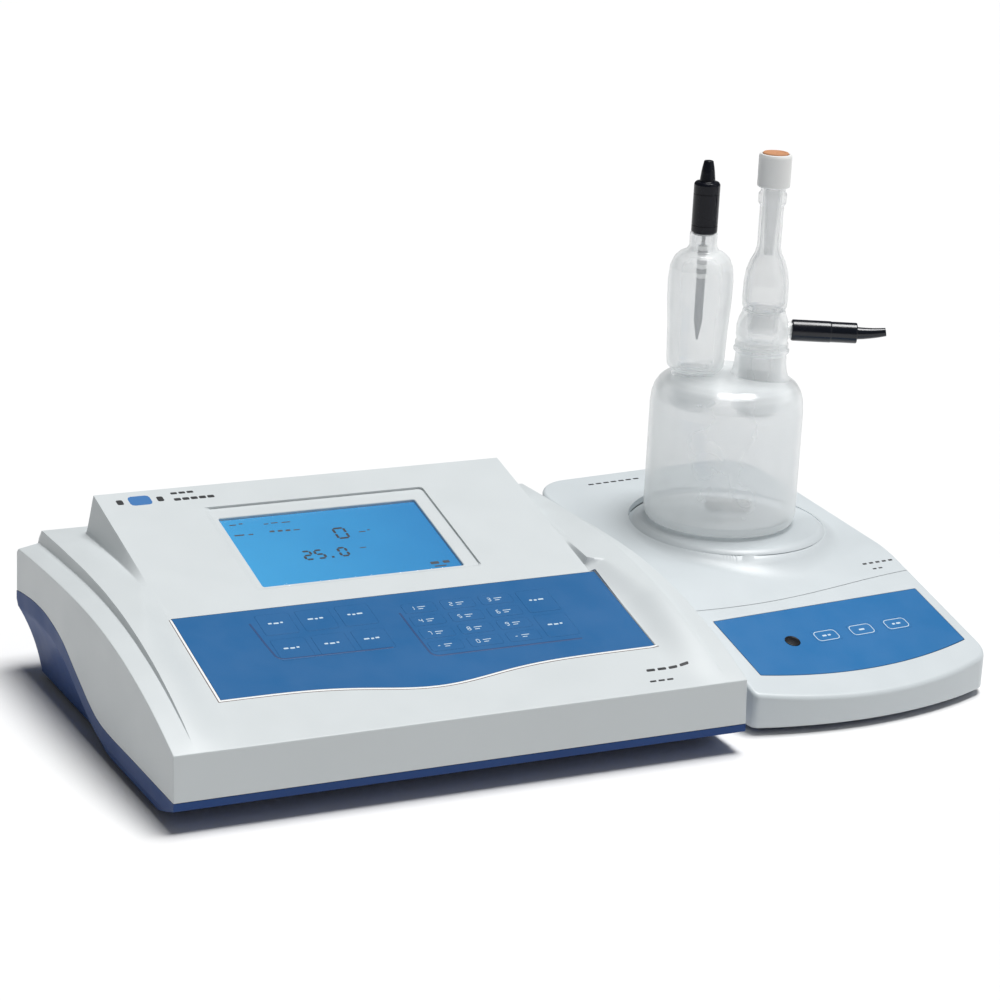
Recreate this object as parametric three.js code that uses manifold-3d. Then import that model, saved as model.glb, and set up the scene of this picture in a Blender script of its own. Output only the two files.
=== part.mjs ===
// Coulometric moisture titrator: a sloping measuring console, a magnetic stirrer unit
// beside it, and a glass titration cell with its electrodes standing on the stirrer.
// Millimetres, +Z up, +X to the operator's right, +Y to the back.
// The bench frame has x = 0 on the console's middle plane and z = 0 on the bench.

import * as THREE from 'three';
import { mergeVertices } from 'three/addons/utils/BufferGeometryUtils.js';
import Module from 'manifold-3d';

const wasm = await Module();
wasm.setup();

// ---------------------------------------------------------------- driving dimensions

const GAP = 0.3;                     // clearance between pieces that touch
const WALL = 2.6;                    // moulded wall thickness
const FAR = 200;                     // reach of a cutting tool past the part

const CONSOLE = {
  halfWidth: 145, frontY: -105, sillY: -106.4, rearY: 119.5,
  frontHeight: 37, slope: 0.2545,    // the top plane rises this much per mm to the back
  raisedHalf: 110.8, wallFoot: 114,  // raised middle: half width on top and at its foot
  raisedRearY: 104.2, ledgeY: 106, ledgeEndY: 117,
  shelfHalf: 133, railHalf: 134.3,   // the groove between the inner wing and the outer rail
  apexY: 25.5,                       // where the wing comes level with the top plane
};
const WING = { topY: 59, topZ: 71, drop: 34, power: 2.3, rearDrop: 1 };
const RAIL = { topY: 37, topZ: 64.2, drop: 27.2, power: 2.25, rearDrop: 2.6 };
const GROOVE_DEPTH = 6.5;
const GROOVE_START = 8;    // behind the front wall
const GROOVE_FADE = 0.7;

const SPLIT = [                      // side line between the white cover and the blue base: y, z
  [-125, 15.2], [-60, 15.2], [-18, 15.2], [2, 18.2], [26, 28],
  [48, 37.6], [70, 42.2], [88, 42.8], [107, 41.3], [130, 37.8],
];

const BASE = {
  bottomZ: 3.4, sideRiseZ: 7.2, frontRiseZ: 11.2, topZ: 60,
  frontY: -85, rearY: 97.5, undercutZ: 35,
};
const BASE_STATIONS = [0, 0.2, 0.32, 0.42, 0.5, 0.58, 0.68, 0.8, 1];  // along the foot, from front to rear
const FOOT_INSET = { front: 1, growth: 5.2, fromY: -22, over: 50 };

const DISPLAY = {                    // on the top plane: across, and up the slope from the front edge
  left: -56, right: 50.5, low: 122.6, high: 185.6,
  bezelLeft: -61.5, bezelRight: 58.5, bezelLow: 118.7, bezelHigh: 194.8, bezelDepth: 1.2,
};

const WINDOW = { top: -1.5, thick: 0.8 };  // clear pane bonded over the display, inside the view

const PANEL = {                      // the blue membrane overlay on the console
  left: -109.5, right: 113, top: 103, foot: 36.2,
  dip: 9.5, dipAt: -5, dipWidth: 40, thick: 0.7, pocket: 1.0,
};
const LEFT_KEYS = { columns: [-61.9, -41.6, -21.3], rows: [89.4, 68.4], width: 17, height: 17 };
const RIGHT_KEYS = { columns: [11.5, 31.9, 52.3], rows: [89.3, 78.5, 67.7, 56.9], width: 17, height: 8 };
const TALL_KEYS = { columns: [72.6], rows: [83.9, 62.3], width: 17, height: 18.8 };
const KEY = { clearance: 0.35, proud: 0.15, stemWidth: 6, stemHeight: 4, stemFoot: -6.9, corner: 1.4 };
const KEY_BOARD = { top: -7.5, thick: 1.6 };
const LEFT_WELL = { left: -73, right: -10, low: 57.5, high: 100 };
const RIGHT_WELL = { left: 0.5, right: 83.5, low: 51, high: 95.5 };

const REAR = {                       // the rear wall's openings, by their middles
  y: CONSOLE.rearY, height: 53,
  inlet: { x: 88, width: 28, height: 20 },
  rocker: { x: 54, width: 20, height: 13 },
  measuring: -62, generator: -90, socketRadius: 6,
};
const BOARD = { left: -120, right: 60, front: -60, rear: 70, z: 13, thick: 1.6, post: 8 };
const CONSOLE_FEET = { halfWidth: 128, front: -74, rear: 84 };

const STIRRER = {
  x: 228, y: 20, yaw: THREE.MathUtils.degToRad(5),
  left: -72, leftFront: -77, right: 69.5, frontCorner: -102.5, frontMiddle: -115.5, frontRounds: [4, 9],
  rear: 121, rearRound: 22,
  bottomZ: 4, breakV: -13.4, breakZ: 50.2, deckSlope: 0.1, frontSlope: 0.3235, breakRound: 9,
};
const PLAN_STEPS = 6;                // straight steps along each curve of the stirrer's outlines
const BOW_STEPS = 8;
const PARTING = { middle: -36, wave: 3.6, phase: 25, length: 225 };
const PLATFORM = { u: 1.9, v: 39, radius: 52, footRadius: 58, topZ: 58.5, footZ: 46, thick: 2.2, spigot: 30 };
const STIRRER_PANEL = {              // on the front slope, measured from the break line
  left: -65, right: 62.5, top: -35.8, foot: -80.2, bulge: 8.7, thick: 0.7, pocket: 1.0,
};
const STIRRER_KEYS = { columns: [-11.2, 10.9, 33], row: -59.9, width: 15, height: 9 };
const INDICATOR = { u: -32.3, t: -59.9, radius: 4 };

const MOTOR = { z: 10, height: 22, radius: 18, shaftTop: 40 };
const ROTOR = { z: 38, height: 8, radius: 23 };

const CELL = { x: 223.3, y: 62.5, turn: THREE.MathUtils.degToRad(-26.84) };
const VESSEL = { radius: 40.3, bodyTop: 62, top: 80.3, glass: 2.2, floor: 4 };
const LEFT_NECK = { outer: 12.4, bore: 10.5, low: 63, top: 80.6 };
const RIGHT_NECK = { outer: 13.3, bore: 11.1, rim: 14.6, low: 62, top: 94.6 };
const ADAPTER_X = -18;
const GENERATOR_X = 16;
const SIDE_ARM_Z = 104.5;
const STIR_BAR = { radius: 3.5, halfLength: 12.5 };

const COLOURS = {
  case: 0xe4e9ea, base: 0x23386e, overlay: 0x3a72b0, stirrerOverlay: 0x3c7ec0,
  black: 0x0e1018, display: 0x46a4e6, glass: 0xdfe6ea, metal: 0xb9bcc0, board: 0x1f6b3a,
  copper: 0xb0703a, rubber: 0x20242c, white: 0xf2f0ec, septum: 0xd99a6c, frit: 0xf5f5f2,
};

// ---------------------------------------------------------------- solid helpers

// Bare positions and faces, so that equal corners can be merged.
function stripped(geometry) {
  const bare = geometry.clone();
  bare.deleteAttribute('normal');
  bare.deleteAttribute('uv');
  return bare;
}

function solid(geometry) {
  const merged = mergeVertices(stripped(geometry), 1e-4);
  const mesh = new wasm.Mesh({
    numProp: 3,
    vertProperties: new Float32Array(merged.attributes.position.array),
    triVerts: new Uint32Array(merged.index.array),
  });
  return new wasm.Manifold(mesh);
}

function geometryOf(body) {
  const mesh = body.getMesh();
  const geometry = new THREE.BufferGeometry();
  geometry.setAttribute('position', new THREE.BufferAttribute(new Float32Array(mesh.vertProperties), 3));
  geometry.setIndex(new THREE.BufferAttribute(new Uint32Array(mesh.triVerts), 1));
  geometry.computeVertexNormals();
  return geometry;
}

function box(x0, x1, y0, y1, z0, z1) {
  const geometry = new THREE.BoxGeometry(x1 - x0, y1 - y0, z1 - z0);
  geometry.translate((x0 + x1) / 2, (y0 + y1) / 2, (z0 + z1) / 2);
  return solid(geometry);
}

// A body turned about Z from [radius, height] pairs.
function turnedGeometry(profile, segments = 20) {
  const points = profile.map(([r, z]) => new THREE.Vector2(r, z));
  const geometry = new THREE.LatheGeometry(points, segments);
  geometry.rotateX(Math.PI / 2);
  return orient(geometry);
}

function turned(profile, segments) {
  return solid(turnedGeometry(profile, segments));
}

// A tube or ring: the profile closes on itself.
function ring(profile, segments) {
  return turned([...profile, profile[0]], segments);
}

function cylinder(x, y, radius, z0, z1, segments = 16) {
  return turned([[0, z0], [radius, z0], [radius, z1], [0, z1]], segments).translate(x, y, 0);
}

// Faces pointing out: the signed volume of the triangles is made positive.
function orient(geometry) {
  const merged = mergeVertices(stripped(geometry), 1e-4);
  const p = merged.attributes.position;
  const index = merged.index.array;
  let volume = 0;
  const [a, b, c] = [new THREE.Vector3(), new THREE.Vector3(), new THREE.Vector3()];
  for (let i = 0; i < index.length; i += 3) {
    a.fromBufferAttribute(p, index[i]);
    b.fromBufferAttribute(p, index[i + 1]);
    c.fromBufferAttribute(p, index[i + 2]);
    volume += a.dot(b.cross(c));
  }
  if (volume < 0) {
    for (let i = 0; i < index.length; i += 3) [index[i], index[i + 1]] = [index[i + 1], index[i]];
  }
  return merged;
}

// Triangles that fill an outline, turning the same way as the outline itself.
function capFaces(outline) {
  const turn = Math.sign(THREE.ShapeUtils.area(outline));
  return THREE.ShapeUtils.triangulateShape(outline, []).map(([i, j, k]) => {
    const same = Math.sign(THREE.ShapeUtils.area([outline[i], outline[j], outline[k]])) === turn;
    return same ? [i, j, k] : [k, j, i];
  });
}

// Skin over equal-length rings of points; flatten gives the 2-D points that triangulate the two ends.
function loft(rings, flatten) {
  const count = rings[0].length;
  const positions = rings.flat().flatMap((p) => [p.x, p.y, p.z]);
  const index = [];
  for (let r = 0; r < rings.length - 1; r++) {
    for (let i = 0; i < count; i++) {
      const a = r * count + i;
      const b = r * count + (i + 1) % count;
      index.push(a, b, b + count, a, b + count, a + count);
    }
  }
  const last = (rings.length - 1) * count;
  for (const [i, j, k] of capFaces(rings[0].map(flatten))) index.push(k, j, i);
  for (const [i, j, k] of capFaces(rings.at(-1).map(flatten))) index.push(last + i, last + j, last + k);
  const geometry = new THREE.BufferGeometry();
  geometry.setAttribute('position', new THREE.Float32BufferAttribute(positions, 3));
  geometry.setIndex(index);
  return solid(orient(geometry));
}

function shapeOf(points) {
  return new THREE.Shape(points.map(([x, y]) => new THREE.Vector2(x, y)));
}

function roundedRectangle(left, right, low, high, radius) {
  const shape = new THREE.Shape();
  shape.moveTo(left + radius, low);
  shape.absarc(right - radius, low + radius, radius, -Math.PI / 2, 0, false);
  shape.absarc(right - radius, high - radius, radius, 0, Math.PI / 2, false);
  shape.absarc(left + radius, high - radius, radius, Math.PI / 2, Math.PI, false);
  shape.absarc(left + radius, low + radius, radius, Math.PI, 1.5 * Math.PI, false);
  return shape;
}

function prism(shape, z0, z1, curveSegments = 3) {
  const geometry = new THREE.ExtrudeGeometry(shape, { depth: z1 - z0, bevelEnabled: false, curveSegments });
  geometry.translate(0, 0, z0);
  return solid(orient(geometry));
}

function block(left, right, low, high, z0, z1, radius = 1.5) {
  return prism(roundedRectangle(left, right, low, high, radius), z0, z1);
}

// Extrudes a side outline of [y, z] points across X.
function acrossX(outline, x0, x1) {
  const geometry = new THREE.ExtrudeGeometry(shapeOf(outline), { depth: x1 - x0, bevelEnabled: false });
  geometry.applyMatrix4(new THREE.Matrix4().makeBasis(
    new THREE.Vector3(0, 1, 0), new THREE.Vector3(0, 0, 1), new THREE.Vector3(1, 0, 0)));
  geometry.translate(x0, 0, 0);
  return solid(orient(geometry));
}

// Moves a solid made in a group's own frame into the frame around it, to cut its neighbours there.
function placed(body, group) {
  group.updateMatrix();
  return body.transform(group.matrix.toArray());
}

function mesh(name, body, colour, roughness = 0.5, metalness = 0) {
  const material = new THREE.MeshStandardMaterial({ color: COLOURS[colour], roughness, metalness });
  if (colour === 'glass') Object.assign(material, { transparent: true, opacity: 0.4 });
  const piece = new THREE.Mesh(geometryOf(body), material);
  piece.name = name;
  return piece;
}

// ---------------------------------------------------------------- console surfaces

function smoothStep(t) {
  const s = THREE.MathUtils.clamp(t, 0, 1);
  return s * s * (3 - 2 * s);
}

function planeHeight(y) {
  return CONSOLE.frontHeight + CONSOLE.slope * (y - CONSOLE.frontY);
}

// The wing's long arch: level near its top, falling faster towards the front edge.
function archHeight(arch, y) {
  if (y > arch.topY) {
    const t = (y - arch.topY) / (CONSOLE.ledgeEndY - arch.topY);
    return arch.topZ - arch.rearDrop * t * t;
  }
  const t = (arch.topY - y) / (arch.topY - CONSOLE.frontY);
  return arch.topZ - arch.drop * t ** arch.power;
}

function grooveDepth(y) {
  const along = (y - CONSOLE.frontY - GROOVE_START) / (CONSOLE.rearY - CONSOLE.frontY);
  return GROOVE_DEPTH * THREE.MathUtils.clamp(along, 0, 1) ** GROOVE_FADE;
}

// Width over which the wing melts into the top plane: a sharp step behind, a soft slope in front.
function blendWidth(y) {
  const soft = THREE.MathUtils.clamp((1 - y) / 36, 0, 1);
  return THREE.MathUtils.lerp(CONSOLE.wallFoot - CONSOLE.raisedHalf, CONSOLE.shelfHalf - CONSOLE.raisedHalf, soft);
}

function topHeight(x, y) {
  const across = Math.abs(x);
  const wing = archHeight(WING, y);
  if (across <= CONSOLE.raisedHalf) return y < CONSOLE.ledgeY ? planeHeight(y) : wing;
  if (across > CONSOLE.shelfHalf) {
    const inner = wing - grooveDepth(y);
    const t = (across - CONSOLE.railHalf) / (CONSOLE.halfWidth - CONSOLE.railHalf);
    return THREE.MathUtils.lerp(inner, archHeight(RAIL, y), t);
  }
  if (y > CONSOLE.apexY) return wing;
  const t = smoothStep((across - CONSOLE.raisedHalf) / blendWidth(y));
  return THREE.MathUtils.lerp(planeHeight(y), wing, t);
}

function consoleOuter() {
  const halfStations = [CONSOLE.raisedHalf, CONSOLE.wallFoot, 118, 123, 128, CONSOLE.shelfHalf,
    CONSOLE.railHalf, CONSOLE.halfWidth];
  const stations = [...halfStations.toReversed().map((x) => -x), ...halfStations];
  const lengths = [CONSOLE.frontY, -99, -90, -78, -64, -50, -35, -20, -8, 1, 13, CONSOLE.apexY,
    42, 60, 80, CONSOLE.raisedRearY, CONSOLE.ledgeY, CONSOLE.ledgeEndY];
  const rings = stations.map((x) => [
    new THREE.Vector3(x, CONSOLE.sillY, 8),
    new THREE.Vector3(x, CONSOLE.sillY, 16),
    ...lengths.map((y) => new THREE.Vector3(x, y, topHeight(x, y))),
    new THREE.Vector3(x, CONSOLE.rearY, Math.min(topHeight(x, CONSOLE.ledgeEndY) - 2, 66)),
    new THREE.Vector3(x, CONSOLE.rearY, 8),
  ]);
  return loft(rings, (p) => new THREE.Vector2(p.y, p.z));
}

function consoleCavity() {
  const front = CONSOLE.frontY + WALL;
  const rear = CONSOLE.rearY - WALL;
  const ceiling = (y) => planeHeight(y) - WALL - 0.4;
  const raisedRear = CONSOLE.raisedRearY - WALL;
  const ledge = WING.topZ - WING.rearDrop - WALL - 0.8;
  const middle = acrossX([
    [front, -5], [front, ceiling(front)], [raisedRear, ceiling(raisedRear)], [raisedRear + 1, ledge],
    [rear, ledge], [rear, -5],
  ], -CONSOLE.raisedHalf + WALL, CONSOLE.raisedHalf - WALL);
  const lengths = [front, -85, -65, -45, -25, -5, 20, 50, 80, rear];
  const wings = acrossX([
    [front, -5],
    ...lengths.map((y) => [y, Math.min(planeHeight(y), archHeight(RAIL, y)) - WALL - 0.8]),
    [rear, -5],
  ], -CONSOLE.halfWidth + WALL, CONSOLE.halfWidth - WALL);
  return middle.add(wings);
}

// Everything under the split line, lowered by the given amount.
function belowSplit(lowered = 0) {
  const curve = new THREE.SplineCurve(SPLIT.map(([y, z]) => new THREE.Vector2(y, z - lowered)));
  const line = curve.getPoints(24).map((p) => [p.x, p.y]);
  return acrossX([[-FAR, -20], [-FAR, line[0][1]], ...line, [FAR, line.at(-1)[1]], [FAR, -20]], -FAR, FAR);
}

// ---------------------------------------------------------------- console parts

// Frame of the sloping top: x across, y up the slope from the front edge, z out of the surface.
function topPlaneGroup() {
  const group = new THREE.Group();
  group.position.set(0, CONSOLE.frontY, CONSOLE.frontHeight);
  group.rotation.x = Math.atan(CONSOLE.slope);
  return group;
}

function panelFoot(x) {
  const t = (x - PANEL.dipAt) / PANEL.dipWidth;
  return PANEL.foot - PANEL.dip * Math.exp(-t * t);
}

function panelShape(grow) {
  const steps = 20;
  const points = [];
  for (let i = 0; i <= steps; i++) {
    const x = THREE.MathUtils.lerp(PANEL.left, PANEL.right, i / steps);
    points.push([x + grow * (2 * i / steps - 1), panelFoot(x) - grow]);
  }
  points.push([PANEL.right + grow, PANEL.top + grow], [PANEL.left - grow, PANEL.top + grow]);
  return shapeOf(points);
}

function keyPlaces(grid) {
  return grid.rows.flatMap((y) => grid.columns.map((x) => ({ x, y, width: grid.width, height: grid.height })));
}

const CONSOLE_KEYS = [...keyPlaces(LEFT_KEYS), ...keyPlaces(RIGHT_KEYS), ...keyPlaces(TALL_KEYS)];

function keyPlate(key, grow, z0, z1) {
  const [w, h] = [key.width / 2 + grow, key.height / 2 + grow];
  return prism(roundedRectangle(key.x - w, key.x + w, key.y - h, key.y + h, KEY.corner + grow), z0, z1, 1);
}

function keyBody(key, panel) {
  const cap = keyPlate(key, 0, -panel.thick, KEY.proud);
  const [w, h] = [KEY.stemWidth / 2, KEY.stemHeight / 2];
  return cap.add(box(key.x - w, key.x + w, key.y - h, key.y + h, KEY.stemFoot, -panel.thick + 0.1));
}

function wellCutter(well) {
  return block(well.left, well.right, well.low, well.high, -20, 5, 3);
}

function rearOpening(place, grow = GAP) {
  const [w, h] = [place.width / 2 + grow, place.height / 2 + grow];
  return box(place.x - w, place.x + w, REAR.y - 12, REAR.y + 12, REAR.height - h, REAR.height + h);
}

function rearBore(x, radius) {
  const bore = turned([[0, -12], [radius, -12], [radius, 12], [0, 12]], 12);
  return bore.rotate([90, 0, 0]).translate(x, REAR.y, REAR.height);
}

function consoleTopCover() {
  const plane = topPlaneGroup();
  const pocket = prism(panelShape(GAP), -PANEL.pocket, 5, 3);
  const bezel = block(DISPLAY.bezelLeft, DISPLAY.bezelRight, DISPLAY.bezelLow, DISPLAY.bezelHigh,
    -DISPLAY.bezelDepth, 5, 2.5);
  const view = block(DISPLAY.left, DISPLAY.right, DISPLAY.low, DISPLAY.high, -20, 5, 1.2);
  const cuts = [pocket, bezel, view, wellCutter(LEFT_WELL), wellCutter(RIGHT_WELL)];
  let cover = consoleOuter().subtract(consoleCavity()).subtract(belowSplit());
  for (const cut of cuts) cover = cover.subtract(placed(cut, plane));
  cover = cover.subtract(rearOpening(REAR.inlet)).subtract(rearOpening(REAR.rocker));
  for (const x of [REAR.measuring, REAR.generator]) cover = cover.subtract(rearBore(x, REAR.socketRadius + GAP));
  return mesh('console_top_cover', cover, 'case', 0.45);
}

// How far the foot stands in from the side wall: hardly in front, more behind.
function sideInset(y) {
  return FOOT_INSET.front + FOOT_INSET.growth * smoothStep((y - FOOT_INSET.fromY) / FOOT_INSET.over);
}

// One ring of the tub: its foot line, then up the front, over the top and down the rear.
function baseRing(side, atFoot, inset) {
  const wall = CONSOLE.halfWidth - inset;
  const bottomZ = atFoot ? BASE.bottomZ + inset : BASE.sideRiseZ + inset / 2;
  const climb = (bottomZ - BASE.bottomZ) / (BASE.undercutZ - BASE.bottomZ);
  const frontClimb = (bottomZ - BASE.bottomZ) / (BASE.frontRiseZ - BASE.bottomZ);
  const front = THREE.MathUtils.lerp(BASE.frontY, CONSOLE.sillY, frontClimb) + inset;
  const rear = THREE.MathUtils.lerp(BASE.rearY, CONSOLE.rearY, climb) - inset;
  const foot = BASE_STATIONS.map((t) => {
    const y = THREE.MathUtils.lerp(front, rear, t);
    return new THREE.Vector3(side * (wall - (atFoot ? sideInset(y) : 0)), y, bottomZ);
  });
  const x = side * (atFoot ? wall - sideInset(front) : wall);
  const upper = [[CONSOLE.sillY, BASE.frontRiseZ], [CONSOLE.sillY, BASE.topZ], [CONSOLE.rearY, BASE.topZ],
    [CONSOLE.rearY, BASE.undercutZ]];
  const sign = [1, 1, -1, -1];
  return [...upper.map(([y, z], i) => new THREE.Vector3(x, y + sign[i] * inset, z)), ...foot.toReversed()];
}

function baseBody(inset) {
  const rings = [baseRing(-1, false, inset), baseRing(-1, true, inset), baseRing(1, true, inset),
    baseRing(1, false, inset)];
  return loft(rings, (p) => new THREE.Vector2(p.y, p.z));
}

function consoleBase() {
  let base = baseBody(0).intersect(belowSplit(GAP)).subtract(baseBody(WALL));
  for (const x of [BOARD.left + BOARD.post, BOARD.right - BOARD.post]) {
    for (const y of [BOARD.front + BOARD.post, BOARD.rear - BOARD.post]) {
      base = base.add(cylinder(x, y, 4, BASE.bottomZ + 1, BOARD.z - GAP, 12));
    }
  }
  return mesh('console_base', base, 'base', 0.4);
}

function mainBoard() {
  let board = box(BOARD.left, BOARD.right, BOARD.front, BOARD.rear, BOARD.z, BOARD.z + BOARD.thick);
  const top = BOARD.z + BOARD.thick - 0.1;
  board = board.add(box(-60, -32, -20, 8, top, top + 4)).add(box(-10, 18, 20, 34, top, top + 9));
  board = board.add(cylinder(35, 45, 7, top, top + 20, 16)).add(cylinder(35, 25, 5, top, top + 14, 16));
  return mesh('main_board', board, 'board', 0.6);
}

function transformer() {
  const floor = BASE.bottomZ + WALL + GAP;
  const core = box(78, 122, 20, 66, floor, floor + 36);
  const coil = box(86, 114, 12, 74, floor + 7, floor + 29);
  return mesh('transformer', core.add(coil), 'copper', 0.6, 0.3);
}

function mainsInlet() {
  const { x, width, height } = REAR.inlet;
  const flange = box(x - width / 2 - 3, x + width / 2 + 3, REAR.y + GAP, REAR.y + 2.4,
    REAR.height - height / 2 - 2.5, REAR.height + height / 2 + 2.5);
  const well = box(x - width / 2, x + width / 2, REAR.y - 22, REAR.y + 1,
    REAR.height - height / 2, REAR.height + height / 2);
  const hollow = box(x - 11, x + 11, REAR.y - 18, REAR.y + 5, REAR.height - 7, REAR.height + 7);
  let inlet = flange.add(well).subtract(hollow);
  for (const pin of [[-6, -2], [0, 2.5], [6, -2]]) {
    inlet = inlet.add(box(x + pin[0] - 1, x + pin[0] + 1, REAR.y - 19, REAR.y - 3,
      REAR.height + pin[1] - 2, REAR.height + pin[1] + 2));
  }
  return mesh('mains_inlet', inlet, 'black', 0.5);
}

// A see-saw switch cap that turns about X at the wall.
function powerRocker() {
  const { x, width, height } = REAR.rocker;
  const [y0, y1] = [REAR.y - 7, REAR.y + 2.2];
  const half = height / 2 - 1.2;
  const outline = [
    [y0, REAR.height - half + 1.5], [y1 - 1.6, REAR.height - half], [y1 + 1.4, REAR.height - half + 0.6],
    [y1 - 0.8, REAR.height], [y1 + 0.2, REAR.height + half - 0.4], [y1 - 1.6, REAR.height + half],
    [y0, REAR.height + half - 1.5],
  ];
  return mesh('power_rocker', acrossX(outline, x - width / 2 + 1.2, x + width / 2 - 1.2), 'black', 0.4);
}

function rearSocket(name, x) {
  const r = REAR.socketRadius;
  const profile = [[4, -14], [r, -14], [r, GAP], [r + 2.6, GAP], [r + 2.6, 2.4], [r - 0.4, 2.4],
    [r - 0.4, 10], [4, 10]];
  const shell = ring(profile, 12);
  const pin = cylinder(0, 0, 1.1, -14, 8, 8).add(cylinder(0, 0, 4.5, -14, -10, 12));
  const body = shell.add(pin).rotate([-90, 0, 0]).translate(x, REAR.y, REAR.height);
  return mesh(name, body, 'metal', 0.3, 0.9);
}

function footStrip(name, x0, x1, y, z1, width = 12) {
  return mesh(name, block(x0, x1, y - width / 2, y + width / 2, 0, z1 - GAP, 4), 'rubber', 0.9);
}

// A block as large as the display's view, grown all round.
function displayBlock(grow, z0, z1) {
  return block(DISPLAY.left - grow, DISPLAY.right + grow, DISPLAY.low - grow, DISPLAY.high + grow, z0, z1, 1.2);
}

function consoleTopPlaneParts() {
  const group = topPlaneGroup();
  let overlay = prism(panelShape(0), -PANEL.thick, 0, 3);
  for (const key of CONSOLE_KEYS) overlay = overlay.subtract(keyPlate(key, KEY.clearance, -5, 5));
  group.add(mesh('console_overlay', overlay, 'overlay', 0.35));
  CONSOLE_KEYS.forEach((key, i) => {
    const name = `console_key_${String(i + 1).padStart(2, '0')}`;
    group.add(mesh(name, keyBody(key, PANEL), 'overlay', 0.35));
  });
  group.add(mesh('display_window', displayBlock(-GAP, WINDOW.top - WINDOW.thick, WINDOW.top), 'glass', 0.1));
  const face = WINDOW.top - WINDOW.thick - GAP;
  const under = -WALL - 0.8 - GAP;
  const module = displayBlock(-GAP, under - 1, face).add(displayBlock(6, under - 10, under));
  group.add(mesh('display_module', module, 'display', 0.3));
  const boardTop = KEY_BOARD.top;
  let keyBoard = box(LEFT_WELL.left - 4, RIGHT_WELL.right + 6, RIGHT_WELL.low - 6, LEFT_WELL.high + 4,
    boardTop - KEY_BOARD.thick, boardTop);
  for (const x of [LEFT_WELL.left - 1, RIGHT_WELL.right + 3]) {
    keyBoard = keyBoard.add(cylinder(x, 76, 2.4, boardTop - 0.5, -WALL - 0.6 - GAP, 10));
  }
  group.add(mesh('key_board', keyBoard, 'board', 0.6));
  return group;
}

function consoleUnit() {
  const group = new THREE.Group();
  group.add(consoleTopCover(), consoleBase(), mainBoard(), transformer(), mainsInlet(), powerRocker());
  group.add(rearSocket('measuring_socket', REAR.measuring), rearSocket('generator_socket', REAR.generator));
  const { halfWidth, front, rear } = CONSOLE_FEET;
  group.add(footStrip('console_foot_front', -halfWidth, halfWidth, front, BASE.bottomZ));
  group.add(footStrip('console_foot_rear', -halfWidth, halfWidth, rear, BASE.bottomZ));
  group.add(consoleTopPlaneParts());
  return group;
}

// ---------------------------------------------------------------- stirrer

function stirrerPlan(inset) {
  const left = STIRRER.left + inset;
  const leftFront = STIRRER.leftFront + inset;
  const right = STIRRER.right - inset;
  const rear = STIRRER.rear - inset;
  const corner = STIRRER.frontCorner + inset;
  const middle = STIRRER.frontMiddle + inset;
  const r = STIRRER.rearRound - inset;
  const bow = new THREE.QuadraticBezierCurve(new THREE.Vector2(leftFront, corner),
    new THREE.Vector2((leftFront + right) / 2, 2 * middle - corner), new THREE.Vector2(right, corner));
  const [leftRound, rightRound] = STIRRER.frontRounds.map((round) => round / (right - leftFront));
  const shape = new THREE.Shape();
  shape.moveTo(leftFront, corner + STIRRER.frontRounds[0]);
  shape.quadraticCurveTo(leftFront, corner, ...bow.getPoint(leftRound).toArray());
  for (let i = 1; i <= BOW_STEPS; i++) {
    const t = THREE.MathUtils.lerp(leftRound, 1 - rightRound, i / BOW_STEPS);
    shape.lineTo(...bow.getPoint(t).toArray());
  }
  shape.quadraticCurveTo(right, corner, right, corner + STIRRER.frontRounds[1]);
  shape.lineTo(right, rear - r);
  shape.absarc(right - r, rear - r, r, 0, Math.PI / 2, false);
  shape.absarc(left + r, rear - r, r, Math.PI / 2, Math.PI, false);
  return shape;
}

function deckHeight(v) {
  return STIRRER.breakZ + STIRRER.deckSlope * (v - STIRRER.breakV);
}

function frontSlopeHeight(v) {
  return STIRRER.breakZ + STIRRER.frontSlope * (v - STIRRER.breakV);
}

// All the space above the stirrer's top, with the break between deck and slope rounded.
function aboveStirrer(lowered = 0) {
  const r = STIRRER.breakRound;
  const from = [STIRRER.breakV - r, frontSlopeHeight(STIRRER.breakV - r)];
  const to = [STIRRER.breakV + r, deckHeight(STIRRER.breakV + r)];
  const bend = new THREE.QuadraticBezierCurve(
    new THREE.Vector2(...from), new THREE.Vector2(STIRRER.breakV, STIRRER.breakZ), new THREE.Vector2(...to));
  const line = bend.getPoints(5).map((p) => [p.x, p.y - lowered]);
  return acrossX([
    [-FAR, frontSlopeHeight(-FAR) - lowered], ...line, [FAR, deckHeight(FAR) - lowered], [FAR, FAR], [-FAR, FAR],
  ], -FAR, FAR);
}

function stirrerShell() {
  const outer = prism(stirrerPlan(0), STIRRER.bottomZ, FAR, PLAN_STEPS).subtract(aboveStirrer());
  const hollow = prism(stirrerPlan(WALL), -5, FAR, PLAN_STEPS).subtract(aboveStirrer(WALL + 0.6));
  const { u, v, radius, footRadius, topZ, footZ, thick, spigot } = PLATFORM;
  const seatZ = topZ - thick - GAP;
  const mound = turned([[0, footZ], [footRadius, footZ], [footRadius - 0.5, 49], [radius + 1.5, seatZ - 0.9],
    [radius + 0.6, seatZ], [0, seatZ]], 36).translate(u, v, 0);
  const seat = cylinder(u, v, radius + GAP, seatZ, FAR, 36);
  const well = cylinder(u, v, spigot + GAP, 30, FAR, 24);
  return outer.subtract(hollow).add(mound.intersect(prism(stirrerPlan(WALL + 1), 0, FAR, PLAN_STEPS)))
    .subtract(seat).subtract(well);
}

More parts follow.
